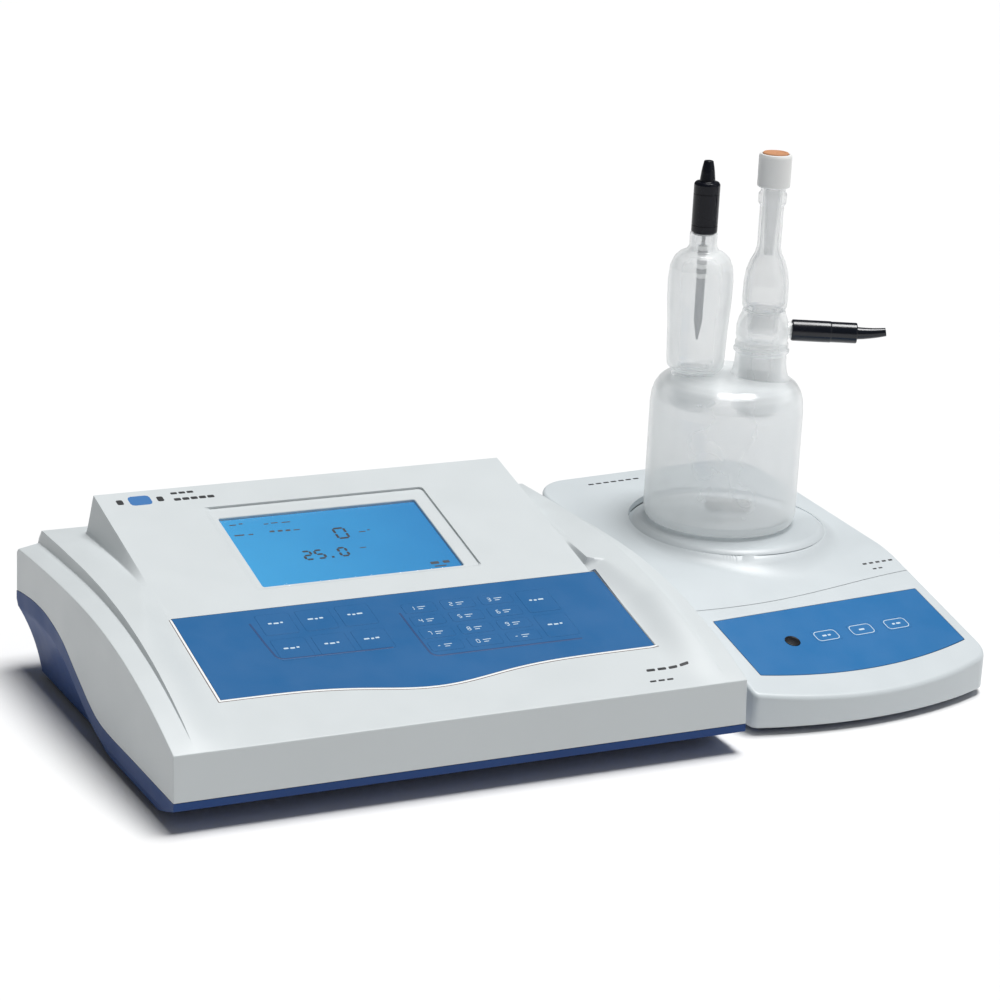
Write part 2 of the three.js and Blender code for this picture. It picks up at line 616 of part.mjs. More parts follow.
// The space in front of the wavy parting line between the deck and the front cover.
function frontOfParting(shift) {
  const steps = 10;
  const points = [];
  for (let i = 0; i <= steps; i++) {
    const u = THREE.MathUtils.lerp(-90, 90, i / steps);
    const wave = PARTING.wave * Math.sin((u - PARTING.phase) / PARTING.length * 2 * Math.PI);
    points.push([u, PARTING.middle + wave + shift]);
  }
  return prism(shapeOf([...points, [90, -FAR], [-90, -FAR]]), -FAR, FAR);
}

// Frame of the front slope: x across, y up the slope from the break line, z out of the surface.
function frontSlopeGroup() {
  const group = new THREE.Group();
  group.position.set(0, STIRRER.breakV, STIRRER.breakZ);
  group.rotation.x = Math.atan(STIRRER.frontSlope);
  return group;
}

function stirrerPanelShape(grow) {
  const { left, right, top, foot, bulge } = STIRRER_PANEL;
  const middle = (left + right) / 2;
  const shape = new THREE.Shape();
  shape.moveTo(left - grow, top + grow);
  shape.lineTo(left - grow, foot - grow);
  shape.quadraticCurveTo(middle, foot - 2 * bulge - grow, right + grow, foot - grow);
  shape.lineTo(right + grow, top + grow);
  return shape;
}

function stirrerKeyPlaces() {
  const { columns, row, width, height } = STIRRER_KEYS;
  return columns.map((x) => ({ x, y: row, width, height }));
}

function indicatorCylinder(radius, z0, z1) {
  return cylinder(INDICATOR.u, INDICATOR.t, radius, z0, z1, 20);
}

function stirrerCovers() {
  const shell = stirrerShell();
  const slope = frontSlopeGroup();
  const pocket = prism(stirrerPanelShape(GAP), -STIRRER_PANEL.pocket, 5, PLAN_STEPS);
  const well = block(-24, 46, -69, -51, -20, 5, 3).add(indicatorCylinder(INDICATOR.radius - 1 + GAP, -20, 5));
  const front = shell.intersect(frontOfParting(-GAP))
    .subtract(placed(pocket, slope)).subtract(placed(well, slope));
  const deck = shell.subtract(frontOfParting(0));
  return [mesh('stirrer_front_cover', front, 'case', 0.45), mesh('stirrer_deck', deck, 'case', 0.45)];
}

function stirrerBase() {
  const inset = WALL + GAP;
  const plate = prism(stirrerPlan(inset), 3.2, 6.2, PLAN_STEPS);
  const { u, v } = PLATFORM;
  let base = plate.add(cylinder(u, v, MOTOR.radius + 3, 6, MOTOR.z - GAP, 20));
  for (const x of [-50, 48]) {
    for (const y of [-82, -42]) base = base.add(cylinder(x, y, 3.5, 6, 12 - GAP, 12));
  }
  return mesh('stirrer_base', base, 'base', 0.5);
}

function stirrerMotor() {
  const { u, v } = PLATFORM;
  const body = cylinder(u, v, MOTOR.radius, MOTOR.z, MOTOR.z + MOTOR.height, 20)
    .add(cylinder(u, v, 5, MOTOR.z + MOTOR.height - 1, MOTOR.z + MOTOR.height + 2.5, 16))
    .add(cylinder(u, v, 1.5, MOTOR.z + MOTOR.height, MOTOR.shaftTop, 12));
  return mesh('stirrer_motor', body, 'metal', 0.35, 0.8);
}

// Disc with a blind hub that drops over the motor shaft, and two round magnets standing in it.
function magnetCarrier() {
  const { u, v } = PLATFORM;
  const disc = turned([[0, ROTOR.z], [ROTOR.radius, ROTOR.z], [ROTOR.radius, ROTOR.z + 4],
    [8, ROTOR.z + 4], [8, ROTOR.z + ROTOR.height], [0, ROTOR.z + ROTOR.height]], 24);
  const magnets = [-1, 1].map((side) => cylinder(side * 15, 0, 5, ROTOR.z + 3, ROTOR.z + ROTOR.height, 12));
  const bore = cylinder(0, 0, 1.5 + GAP, ROTOR.z - 5, MOTOR.shaftTop + GAP, 12);
  const body = disc.add(magnets[0]).add(magnets[1]).subtract(bore).translate(u, v, 0);
  return mesh('magnet_carrier', body, 'metal', 0.4, 0.7);
}

function stirrerSlopeParts() {
  const group = frontSlopeGroup();
  const keys = stirrerKeyPlaces();
  let overlay = prism(stirrerPanelShape(0), -STIRRER_PANEL.thick, 0, PLAN_STEPS);
  for (const key of keys) overlay = overlay.subtract(keyPlate(key, KEY.clearance, -5, 5));
  overlay = overlay.subtract(indicatorCylinder(INDICATOR.radius + GAP, -5, 5));
  group.add(mesh('stirrer_overlay', overlay, 'stirrerOverlay', 0.35));
  keys.forEach((key, i) => {
    group.add(mesh(`stirrer_key_${i + 1}`, keyBody(key, STIRRER_PANEL), 'stirrerOverlay', 0.35));
  });
  const lens = indicatorCylinder(INDICATOR.radius, -STIRRER_PANEL.thick, 0.4)
    .add(indicatorCylinder(INDICATOR.radius - 1, -7, 0));
  group.add(mesh('indicator_lens', lens, 'black', 0.15));
  return group;
}

function stirrerBoard() {
  const board = box(-56, 54, -88, -36, 12, 13.6).add(box(-20, 6, -70, -50, 13.5, 17));
  return mesh('stirrer_board', board, 'board', 0.6);
}

function stirrerUnit() {
  const group = new THREE.Group();
  group.position.set(STIRRER.x, STIRRER.y, 0);
  group.rotation.z = STIRRER.yaw;
  group.add(...stirrerCovers(), stirrerBase(), stirrerMotor(), magnetCarrier(), stirrerBoard());
  const { u, v, radius, thick, spigot, topZ } = PLATFORM;
  const disc = turned([[0, topZ - thick - 3], [spigot, topZ - thick - 3], [spigot, topZ - thick],
    [radius, topZ - thick], [radius, topZ - 1.2], [radius - 0.4, topZ - 0.4], [radius - 1.2, topZ], [0, topZ]], 36);
  group.add(mesh('cell_platform', disc.translate(u, v, 0), 'case', 0.4));
  group.add(footStrip('stirrer_foot_front', -56, 54, -88, 3.2));
  group.add(footStrip('stirrer_foot_rear', -46, 44, 104, 3.2));
  group.add(stirrerSlopeParts());
  return group;
}

// ---------------------------------------------------------------- titration cell

function vesselOuterProfile() {
  const r = VESSEL.radius;
  return [[0, 0], [r - 4.6, 0], [r - 1.4, 1.5], [r, 5], [r, VESSEL.bodyTop], [r - 0.5, 67.5],
    [r - 1.8, 72], [r - 4.2, 75.6], [r - 8, 78], [r - 14, 79.4], [r - 23, 80.1], [0, VESSEL.top]];
}

function vesselInnerProfile() {
  const r = VESSEL.radius - VESSEL.glass;
  return [[0, VESSEL.floor], [r - 4, VESSEL.floor], [r - 1, VESSEL.floor + 1.5], [r, VESSEL.floor + 5],
    [r, VESSEL.bodyTop - 0.5], [r - 0.5, 66.8], [r - 1.8, 70.9], [r - 4, 73.9], [r - 7.4, 75.9],
    [r - 13, 77.2], [r - 21, 77.8], [0, 78]];
}

function cellVessel() {
  const left = cylinder(ADAPTER_X, 0, LEFT_NECK.outer, LEFT_NECK.low, LEFT_NECK.top, 20);
  const right = cylinder(GENERATOR_X, 0, RIGHT_NECK.outer, RIGHT_NECK.low, RIGHT_NECK.top, 20)
    .add(cylinder(GENERATOR_X, 0, RIGHT_NECK.rim, RIGHT_NECK.top - 2.2, RIGHT_NECK.top, 20));
  const body = turned(vesselOuterProfile(), 32).subtract(turned(vesselInnerProfile(), 32))
    .add(left).add(right)
    .subtract(cylinder(ADAPTER_X, 0, LEFT_NECK.bore, 40, 100, 20))
    .subtract(cylinder(GENERATOR_X, 0, RIGHT_NECK.bore, 40, 100, 20));
  return mesh('cell_vessel', body, 'glass', 0.15);
}

function bulbAdapter() {
  const profile = [
    [9.7, 60], [10.1, 80.9], [12.8, 81.2], [14.8, 83.2], [15.2, 87], [15.8, 104], [16.8, 118], [17, 129],
    [16.4, 136], [14.6, 140.6], [11.8, 143.4], [8.6, 144.9], [7.2, 147], [7.2, 154], [5.9, 154], [5.9, 146.4],
    [7.6, 143.6], [10.8, 141.9], [13.3, 139.4], [14.9, 135.2], [15.5, 129], [15.3, 118], [14.3, 104],
    [13.7, 87.4], [13, 84.4], [11.4, 82.8], [8.6, 82.2], [8.2, 60],
  ];
  const body = ring(profile).translate(ADAPTER_X, 0, 0);
  return mesh('bulb_adapter', body, 'glass', 0.15);
}

function electrodeRod() {
  const profile = [[0, 96.7], [0.5, 97], [1.2, 101], [2, 105.6], [2.3, 107], [2.3, 130], [2.7, 130.4],
    [2.7, 134.6], [2.3, 135], [2.3, 139.6], [2.7, 140], [2.7, 146.6], [2.3, 147], [2.3, 148.6], [0, 148.6]];
  return mesh('electrode_rod', turned(profile, 12).translate(ADAPTER_X, 0, 0), 'metal', 0.3, 0.8);
}

function electrodeCap() {
  const profile = [[0, 148.9], [5.5, 148.9], [5.5, 154.3], [6.8, 154.4], [6.8, 179.4], [6, 180.6], [4.1, 180.9],
    [3.5, 186], [3.1, 188.4], [2.4, 191.6], [0, 191.6]];
  return mesh('electrode_cap', turned(profile, 16).translate(ADAPTER_X, 0, 0), 'black', 0.4);
}

function generatorTube() {
  const profile = [
    [10.3, 58], [10.8, 94.9], [14, 95.1], [14, 97.4], [13.2, 98.4], [13.8, 101.5], [13.7, 106.4], [12.7, 110.4],
    [11.4, 113.4], [11.2, 114.6], [8.5, 114.6], [8.7, 111.4], [10.9, 108.6], [12.2, 105.6], [12.3, 102],
    [11.4, 99.2], [9.2, 96], [8.9, 58],
  ];
  const body = ring(profile);
  const arm = cylinder(0, 0, 4.4, 10, 19).subtract(cylinder(0, 0, 3, 5, 30));
  const arms = arm.rotate([0, 90, 0]).translate(0, 0, SIDE_ARM_Z);
  const hole = cylinder(0, 0, 3, 5, 30).rotate([0, 90, 0]).translate(0, 0, SIDE_ARM_Z);
  const core = turned([[0, 57], [8.8, 57], [9, 95], [11.2, 99], [12.2, 103], [11.9, 106], [10, 109], [0, 111]]);
  const whole = body.add(arms.subtract(core)).subtract(hole).translate(GENERATOR_X, 0, 0);
  return mesh('generator_tube', whole, 'glass', 0.15);
}

function generatorFrit() {
  const body = cylinder(GENERATOR_X, 0, 8.9 - GAP, 58.6, 62.4);
  return mesh('generator_frit', body, 'frit', 0.9);
}

function dryingTube() {
  const profile = [
    [7.6, 103], [8.1, 114.8], [10.8, 115], [11.6, 117.2], [11.9, 121], [11.7, 129], [10.9, 135.6], [9.2, 140.8],
    [7.1, 144.8], [6.2, 148.6], [6.2, 170], [7.2, 171.4], [7.4, 176], [6.6, 177.4], [6.2, 179], [6.2, 193.6],
    [4.9, 193.6], [4.9, 148.4], [5.8, 144.4], [7.9, 140], [9.5, 135], [10.3, 128.8], [10.5, 121.4], [10.2, 118.4],
    [8.8, 116.8], [6.6, 116.2], [6.2, 103],
  ];
  return mesh('drying_tube', ring(profile, 18).translate(GENERATOR_X, 0, 0), 'glass', 0.15);
}

function innerTube() {
  const profile = [[2.5, 144], [3.9, 176], [4, 192], [4.4, 193.3], [3.1, 193.3], [3.1, 176], [1.7, 144]];
  return mesh('inner_tube', ring(profile, 12).translate(GENERATOR_X, 0, 0), 'glass', 0.15);
}

function screwCap() {
  const profile = [[8.5, 179.6], [8.6, 196], [8, 197], [7, 197], [7, 193.9], [6.5, 193.9], [6.5, 179.6]];
  return mesh('screw_cap', ring(profile).translate(GENERATOR_X, 0, 0), 'white', 0.5);
}

function septum() {
  const body = cylinder(GENERATOR_X, 0, 7 - GAP, 193.9, 197.6, 20);
  return mesh('septum', body, 'septum', 0.7);
}

// Cable end that pushes over the side arm: a socket, a ribbed grip and a bent tapered boot.
function generatorPlug() {
  const profile = [[0, 19.4], [4.8, 19.4], [4.8, 14.9], [5.2, 14.9], [5.6, 15.6], [5.6, 35], [5.4, 35.6],
    [5.4, 48.6], [5.1, 49], [3.3, 49.2], [3, 54], [2.2, 64.6], [0, 64.6]];
  const body = turned(profile, 14).rotate([0, 90, 0]).translate(GENERATOR_X, 0, SIDE_ARM_Z);
  return mesh('generator_plug', body, 'black', 0.4);
}

function stirBar() {
  const { radius: r, halfLength: half } = STIR_BAR;
  const profile = [[0, -half], [1.8, -half + 0.4], [3, -half + 1.6], [r, -half + r], [r, half - r],
    [3, half - 1.6], [1.8, half - 0.4], [0, half]];
  const bar = turned(profile, 12).rotate([0, 90, 0]);
  return mesh('stir_bar', bar, 'white', 0.4);
}

// Turning centre of the stir bar: straight over the motor, in the bench frame.
function motorAxis() {
  return new THREE.Vector3(PLATFORM.u, PLATFORM.v, 0)
    .applyAxisAngle(new THREE.Vector3(0, 0, 1), STIRRER.yaw)
    .add(new THREE.Vector3(STIRRER.x, STIRRER.y, 0));
}

function titrationCell() {
  const group = new THREE.Group();
  group.position.set(CELL.x, CELL.y, PLATFORM.topZ + GAP);
  group.rotation.z = CELL.turn;
  group.add(cellVessel(), bulbAdapter(), electrodeRod(), electrodeCap());
  group.add(generatorTube(), generatorFrit(), dryingTube(), innerTube(), screwCap(), septum(), generatorPlug());
  const bar = stirBar();
  group.updateMatrixWorld(true);
  bar.position.copy(group.worldToLocal(motorAxis().setZ(group.position.z + VESSEL.floor + GAP + STIR_BAR.radius)));
  group.add(bar);
  return group;
}

// ---------------------------------------------------------------- whole object

// The row's origin is the middle of the whole object's footprint, on the bench.
function titrator() {
  const bench = new THREE.Group();
  bench.add(consoleUnit(), stirrerUnit(), titrationCell());
  bench.updateMatrixWorld(true);
  const extent = new THREE.Box3().setFromObject(bench, true);
  const middle = extent.getCenter(new THREE.Vector3());
  const row = new THREE.Group();
  bench.position.set(-middle.x, -middle.y, -extent.min.z);
  row.add(bench);
  return row;
}

export default titrator();
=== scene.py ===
"""Looks of a coulometric moisture titrator: the console, the stirrer unit and the glass cell.

Shapes are made in millimetres in the bench frame: x = 0 on the console's middle plane, z = 0 on the
bench, +X to the operator's right and +Y to the back. settle() then puts them into the row frame.
"""
import math

import bmesh
import bpy
from mathutils import Matrix, Vector


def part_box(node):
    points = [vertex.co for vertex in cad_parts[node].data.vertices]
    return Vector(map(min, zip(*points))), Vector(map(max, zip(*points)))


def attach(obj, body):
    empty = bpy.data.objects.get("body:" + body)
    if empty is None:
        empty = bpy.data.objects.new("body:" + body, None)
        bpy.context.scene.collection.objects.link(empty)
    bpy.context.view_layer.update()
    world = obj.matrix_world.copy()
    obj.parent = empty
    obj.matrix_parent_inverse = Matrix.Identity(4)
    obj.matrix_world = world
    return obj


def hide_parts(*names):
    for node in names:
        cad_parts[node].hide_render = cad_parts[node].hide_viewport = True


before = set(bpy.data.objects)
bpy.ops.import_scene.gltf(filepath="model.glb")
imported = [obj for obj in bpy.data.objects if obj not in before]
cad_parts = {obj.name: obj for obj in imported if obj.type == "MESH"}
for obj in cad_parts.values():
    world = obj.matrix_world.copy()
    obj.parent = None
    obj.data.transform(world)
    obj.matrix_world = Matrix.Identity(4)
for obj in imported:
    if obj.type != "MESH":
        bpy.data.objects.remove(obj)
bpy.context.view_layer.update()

# ---------------------------------------------------------------- sizes in millimetres

MM = 0.001
GAP = 0.3
WALL = 2.6
FAR = 300

HALF_WIDTH = 145
FRONT_Y, SILL_Y, REAR_Y = -105, -106.4, 119.5
FRONT_HEIGHT, SLOPE = 37, 0.2545
RAISED_HALF = 110.8
RAISED_REAR_Y, LEDGE_Y, LEDGE_END_Y = 104.2, 106, 117
SHELF_HALF, RAIL_HALF = 133, 134.3
GROOVE_DEPTH, GROOVE_START, GROOVE_FADE = 6.5, 8, 0.7
LEFT_WIDTHS = [(-35, 22.2), (24, 3.2)]
RIGHT_WIDTHS = [(-35, 22.2), (-2.5, 9), (1.5, 1.2), (20, 1.2), (25, 3.2)]
WING = {"top_y": 59, "top_z": 71, "drop": 34, "power": 2.3, "rear_drop": 1}
RAIL = {"top_y": 37, "top_z": 64.2, "drop": 27.2, "power": 2.25, "rear_drop": 2.6}
COVER_EDGE = 0.6                     # radius on the cover's outer edges
SPLIT = [(-125, 15.2), (-60, 15.2), (-18, 15.2), (2, 18.2), (26, 28),
         (48, 37.6), (70, 42.2), (88, 42.8), (107, 41.3), (130, 37.8)]

BASE_BOTTOM, BASE_RISE, BASE_TOP, UNDERCUT_Z = 3.4, 7.2, 60, 35
BASE_FRONT_RISE, BASE_FRONT_Y, BASE_REAR_Y = 11.2, -85, 97.5
BASE_BAND = 8                        # height of the upright band under the cover's side
BASE_POSTS = [(x, y) for x in (-112, 52) for y in (-52, 62)]
FOOT_INSET = {"front": 1, "growth": 5.2, "from_y": -22, "over": 50}

VIEW = (-56, 50.5, 122.6, 185.6)     # left, right, low and high of the display's view
BEZEL = (-61.5, 58.5, 118.7, 194.8)
BEZEL_DEPTH = 1.2
PANE_TOP, PANE_THICK = -1.5, 0.8

PANEL_LEFT, PANEL_RIGHT, PANEL_TOP, PANEL_FOOT = -109.5, 113, 103, 36.2
PANEL_DIP, DIP_AT, DIP_WIDTH = 9.5, -5, 40
FILM, POCKET = 0.7, 1.0
PRINT = 0.04                         # thickness of a printed mark
KEY_GRIDS = [                        # columns, rows, width, height
    ([-61.9, -41.6, -21.3], [89.4, 68.4], 17, 17),
    ([11.5, 31.9, 52.3], [89.3, 78.5, 67.7, 56.9], 17, 8),
    ([72.6], [83.9, 62.3], 17, 18.8),
]
KEY_CORNER, KEY_GAP = 1.4, 0.06
WELLS = [(-73, -10, 57.5, 100), (0.5, 83.5, 51, 95.5)]

REAR_HEIGHT = 53
INLET_X, INLET_WIDTH, INLET_HEIGHT = 88, 28, 20
ROCKER_X, ROCKER_WIDTH, ROCKER_HEIGHT = 54, 20, 13
SOCKET_XS = {"measuring_socket": -62, "generator_socket": -90}
SOCKET_RADIUS = 6

STIRRER_X, STIRRER_Y, STIRRER_YAW = 228, 20, math.radians(5)
PLAN_LEFT, PLAN_LEFT_FRONT, PLAN_RIGHT = -72, -77, 69.5
PLAN_CORNER, PLAN_MIDDLE, PLAN_REAR = -102.5, -115.5, 121
PLAN_ROUNDS = (4, 13, 22)            # left front, right front, rear
PLAN_SPACING = 2.5                   # rough distance between the outline's points
TOP_CLOSES_AT = 20                   # radius of the last ring of the unit's top, under the platform
STIRRER_BOTTOM = 4
BREAK_V, BREAK_Z, DECK_SLOPE, FRONT_SLOPE, BREAK_ROUND = -13.4, 50.2, 0.1, 0.3235, 9
STIRRER_EDGE = 2
PARTING_MIDDLE, PARTING_WAVE, PARTING_PHASE, PARTING_LENGTH = -36, 3.6, 25, 225
PLATFORM_U, PLATFORM_V, PLATFORM_RADIUS, PLATFORM_TOP, PLATFORM_THICK = 1.9, 39, 52, 58.5, 2.2
SPIGOT = 30
STIRRER_POSTS = [(x, y) for x in (-50, 48) for y in (-82, -42)]
MOUND_FALL, MOUND_SOFT = 1.1, 5      # slope of the skirt round the platform, and how softly it meets the deck
STIRRER_PANEL = {"left": -65, "right": 62.5, "top": -35.8, "foot": -80.2, "bulge": 8.7}
STIRRER_KEYS = ([-11.2, 10.9, 33], -59.9, 15, 9)
INDICATOR_U, INDICATOR_T, INDICATOR_RADIUS = -32.3, -59.9, 4
RIGHT_MARKS_T = -10.2

CELL_TURN = math.radians(-26.84)
ADAPTER_X, GENERATOR_X, SIDE_ARM_Z = -18, 16, 104.5
VESSEL_RADIUS, VESSEL_INNER, LEFT_BORE, RIGHT_BORE = 40.3, 38.1, 10.5, 11.1
BORE_TURN = 0.031                    # keeps a bore's edges off the neck's own, so the cut stays closed

# ---------------------------------------------------------------- frames

def at(x, y, z):
    return Matrix.Translation((x, y, z))


def turned(axis, angle):
    return Matrix.Rotation(angle, 4, axis)


cover_low, cover_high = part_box("console_top_cover")
cell_low, cell_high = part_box("cell_vessel")
ROW = at((cover_low.x + cover_high.x) / 2, cover_low.y - SILL_Y * MM, 0) @ Matrix.Scale(MM, 4)
BENCH = Matrix.Identity(4)
TOP_PLANE = at(0, FRONT_Y, FRONT_HEIGHT) @ turned("X", math.atan(SLOPE))
STIRRER = at(STIRRER_X, STIRRER_Y, 0) @ turned("Z", STIRRER_YAW)
FRONT_PLANE = STIRRER @ at(0, BREAK_V, BREAK_Z) @ turned("X", math.atan(FRONT_SLOPE))
cell_foot = ROW.inverted() @ Vector(((cell_low.x + cell_high.x) / 2, (cell_low.y + cell_high.y) / 2,
                                     cell_low.z))
CELL = at(*cell_foot) @ turned("Z", CELL_TURN)
ADAPTER = CELL @ at(ADAPTER_X, 0, 0)
GENERATOR = CELL @ at(GENERATOR_X, 0, 0)
SIDE_ARM = GENERATOR @ at(0, 0, SIDE_ARM_Z) @ turned("Y", math.pi / 2)
REAR_FACE = at(0, REAR_Y, REAR_HEIGHT) @ turned("X", -math.pi / 2)


# ---------------------------------------------------------------- lines and outlines

def spread(start, end, count):
    return [start + (end - start) * i / count for i in range(count + 1)]


def fillet(points, radius, steps=5, closed=True):
    """The same line with an arc at each corner; a point may bring its own radius as a third number."""
    line = []
    count = len(points)
    for i, point in enumerate(points):
        here = Vector(point[:2])
        reach = point[2] if len(point) > 2 else radius
        if reach <= 0 or (not closed and i in (0, count - 1)):
            line.append(here)
            continue
        before = Vector(points[i - 1][:2]) - here
        after = Vector(points[(i + 1) % count][:2]) - here
        turn = math.pi - before.angle(after)
        if turn < 0.02:
            line.append(here)
            continue
        tangent = min(reach * math.tan(turn / 2), before.length * 0.48, after.length * 0.48)
        start, end = here + before.normalized() * tangent, here + after.normalized() * tangent
        arc_radius = tangent / math.tan(turn / 2)
        middle = (before.normalized() + after.normalized()).normalized()
        centre = here + middle * arc_radius / math.cos(turn / 2)
        first, last = start - centre, end - centre
        sweep = first.angle_signed(last)
        for k in range(steps + 1):
            line.append(centre + Matrix.Rotation(-sweep * k / steps, 2) @ first)
    return [(p.x, p.y) for p in line]


def rounded_rectangle(left, right, low, high, radius, steps=5):
    return fillet([(left, low), (right, low), (right, high), (left, high)], radius, steps)


def circle(radius, count, x=0, y=0):
    return [(x + radius * math.cos(a), y + radius * math.sin(a)) for a in spread(0, math.tau, count)[:-1]]


def area(outline):
    return sum(a[0] * b[1] - b[0] * a[1] for a, b in zip(outline, outline[1:] + outline[:1])) / 2


def inset(outline, distance):
    """The outline moved inwards by distance, corner by corner."""
    side = 1 if area(outline) > 0 else -1
    moved = []
    for i, point in enumerate(outline):
        here = Vector(point)
        into = (here - Vector(outline[i - 1])).normalized()
        away = (Vector(outline[(i + 1) % len(outline)]) - here).normalized()
        normals = [Vector((-d.y, d.x)) * side for d in (into, away)]
        both = normals[0] + normals[1]
        moved.append(tuple(here + both * (distance / max(1 + normals[0].dot(normals[1]), 0.4))))
    return moved


def catmull(points, steps):
    """Smooth line through the points, at even steps of each stretch."""
    line = []
    for i in range(len(points) - 1):
        p0, p1, p2 = points[max(i - 1, 0)], points[i], points[i + 1]
        p3 = points[min(i + 2, len(points) - 1)]
        for k in range(steps):
            t = k / steps
            line.append(tuple((2 * b + (c - a) * t + (2 * a - 5 * b + 4 * c - d) * t * t
                               + (3 * b - a - 3 * c + d) * t ** 3) / 2 for a, b, c,
                              d in zip(p0, p1, p2, p3)))
    return [*line, tuple(points[-1])]


def ramp(t, soft):
    """0 to 1 in a straight line whose two corners are rounded over soft of its length."""
    def total(v):
        return 0 if v < 0 else v * v / 2 if v < 1 else v - 0.5
    return (total(t + soft) - total(t - soft)) / (2 * soft)


def clamp(value, low=0, high=1):
    return max(low, min(high, value))


def smooth_step(t):
    t = clamp(t)
    return t * t * (3 - 2 * t)


def along_table(table, at):
    """Straight-line value between the two entries on either side."""
    for (a, low), (b, high) in zip(table, table[1:]):
        if a <= at <= b:
            return low + (high - low) * (at - a) / (b - a)
    return table[0][1] if at < table[0][0] else table[-1][1]


# ---------------------------------------------------------------- meshes

def mesh_object(name, points, faces):
    mesh = bpy.data.meshes.new(name)
    mesh.from_pydata([tuple(p) for p in points], [], faces)
    outward(mesh)
    piece = bpy.data.objects.new(name, mesh)
    bpy.context.scene.collection.objects.link(piece)
    return piece


def outward(mesh):
    work = bmesh.new()
    work.from_mesh(mesh)
    bmesh.ops.remove_doubles(work, verts=work.verts, dist=1e-5)
    bmesh.ops.recalc_face_normals(work, faces=work.faces)
    work.to_mesh(mesh)
    work.free()


def skin(name, rings, place=BENCH, looped=False):
    """Closed body through equal rings of points; its last ring joins its first, or both get a flat face."""
    count = len(rings[0])
    points = [place @ Vector(p) for ring in rings for p in ring]
    faces = []
    for r in range(len(rings) if looped else len(rings) - 1):
        s = (r + 1) % len(rings)
        for i in range(count):
            j = (i + 1) % count
            faces.append((r * count + i, r * count + j, s * count + j, s * count + i))
    if not looped:
        faces.append(tuple(reversed(range(count))))
        faces.append(tuple(range((len(rings) - 1) * count, len(rings) * count)))
    return mesh_object(name, points, faces)


def stack(name, outline, levels, place=BENCH):
    """Plate of one outline: each level is (how far it is inset, its height)."""
    return skin(name, [[(*p, z) for p in inset(outline, d)] for d, z in levels], place)


def soft_levels(low, high, low_round, high_round, steps=4):
    """Levels of a plate whose rims are rounded below and above."""
    levels = [(low_round * (1 - math.sin(a)), low + low_round * (1 - math.cos(a)))
              for a in spread(0, math.pi / 2, steps)] if low_round else [(0, low)]
    if not high_round:
        return levels + [(0, high)]
    return levels + [(high_round * (1 - math.cos(a)), high - high_round * (1 - math.sin(a)))
                     for a in spread(0, math.pi / 2, steps)]


def flared_levels(low, surface, lip):
    """Levels of a cutter that leaves a rounded lip where it breaks the surface."""
    curve = [(-lip * (1 - math.cos(a)), surface - lip * (1 - math.sin(a))) for a in spread(0, math.pi / 2, 4)]
    return [(0, low), *curve, (-lip * 1.5, surface + 5)]


def lathe(name, profile, place, segments=96):
    """Body turned about Z from [radius, height]; a profile off the axis closes on itself."""
    closed = profile[0][0] > 0 and profile[-1][0] > 0
    points, rows = [], []
    for radius, height in profile:
        if radius <= 1e-6:
            rows.append([len(points)] * segments)
            points.append(place @ Vector((0, 0, height)))
            continue
        rows.append(list(range(len(points), len(points) + segments)))
        points += [place @ Vector((radius * math.cos(a), radius * math.sin(a), height))
                   for a in spread(0, math.tau, segments)[:-1]]
    if closed:
        rows.append(rows[0])
    faces = []
    for low, high in zip(rows, rows[1:]):
        for i in range(segments):
            j = (i + 1) % segments
            corners = list(dict.fromkeys((low[i], low[j], high[j], high[i])))
            if len(corners) > 2:
                faces.append(corners)
    return mesh_object(name, points, faces)


def ribbon(name, path, width, height, place=BENCH, closed=False, base=0):
    """Low rounded ridge along a line drawn on a plane."""
    section = [(-1, 0), (-0.92, 0.55), (-0.55, 0.95), (0, 1), (0.55, 0.95), (0.92, 0.55), (1, 0)]
    rings = []
    for i, point in enumerate(path):
        here = Vector(point)
        before = Vector(path[i - 1]) if i or closed else here
        after = Vector(path[(i + 1) % len(path)]) if i < len(path) - 1 or closed else here
        ways = [way.normalized() for way in (here - before, after - here) if way.length > 0]
        along = (ways[0] + ways[-1]).normalized()
        across = Vector((-along.y, along.x)) * width / (2 * max(along.dot(ways[0]), 0.5))
        rings.append([(here.x + across.x * s, here.y + across.y * s, base + height * h) for s, h in section])
    return skin(name, rings, place, closed)


def tube(name, path, radii, place, sides):
    """Round bar along points in space, with a radius for each point."""
    rings = []
    reference = Vector((0, 0, 1))
    points = [Vector(p) for p in path]
    for i, here in enumerate(points):
        along = (points[min(i + 1, len(points) - 1)] - points[max(i - 1, 0)]).normalized()
        aside = reference if abs(along.dot(reference)) < 0.95 else Vector((0, 1, 0))
        across = along.cross(aside).normalized()
        up = across.cross(along)
        r = radii[i]
        rings.append([here + across * r * math.cos(a) + up * r * math.sin(a)
                      for a in spread(0, math.tau, sides)[:-1]])
    return skin(name, rings, place)


def bake(piece):
    """Turns the piece's modifiers into its mesh."""
    graph = bpy.context.evaluated_depsgraph_get()
    mesh = bpy.data.meshes.new_from_object(piece.evaluated_get(graph))
    piece.modifiers.clear()
    piece.data = mesh


def combine(piece, others, operation="DIFFERENCE"):
    for other in others:
        step = piece.modifiers.new("step", "BOOLEAN")
        step.operation = operation
        step.solver = "EXACT"
        step.object = other
    bake(piece)
    for other in others:
        bpy.data.objects.remove(other)
    return piece


def join(piece, others):
    """Adds closed bodies to the piece's mesh, each keeping its own material."""
    work = bmesh.new()
    work.from_mesh(piece.data)
    materials = list(piece.data.materials)
    for other in others:
        start = len(work.faces)
        work.from_mesh(other.data)
        work.faces.ensure_lookup_table()
        material = other.data.materials[0]
        if material not in materials:
            materials.append(material)
            piece.data.materials.append(material)
        for face in work.faces[start:]:
            face.material_index = materials.index(material)
        bpy.data.objects.remove(other)
    work.to_mesh(piece.data)
    work.free()
    return piece


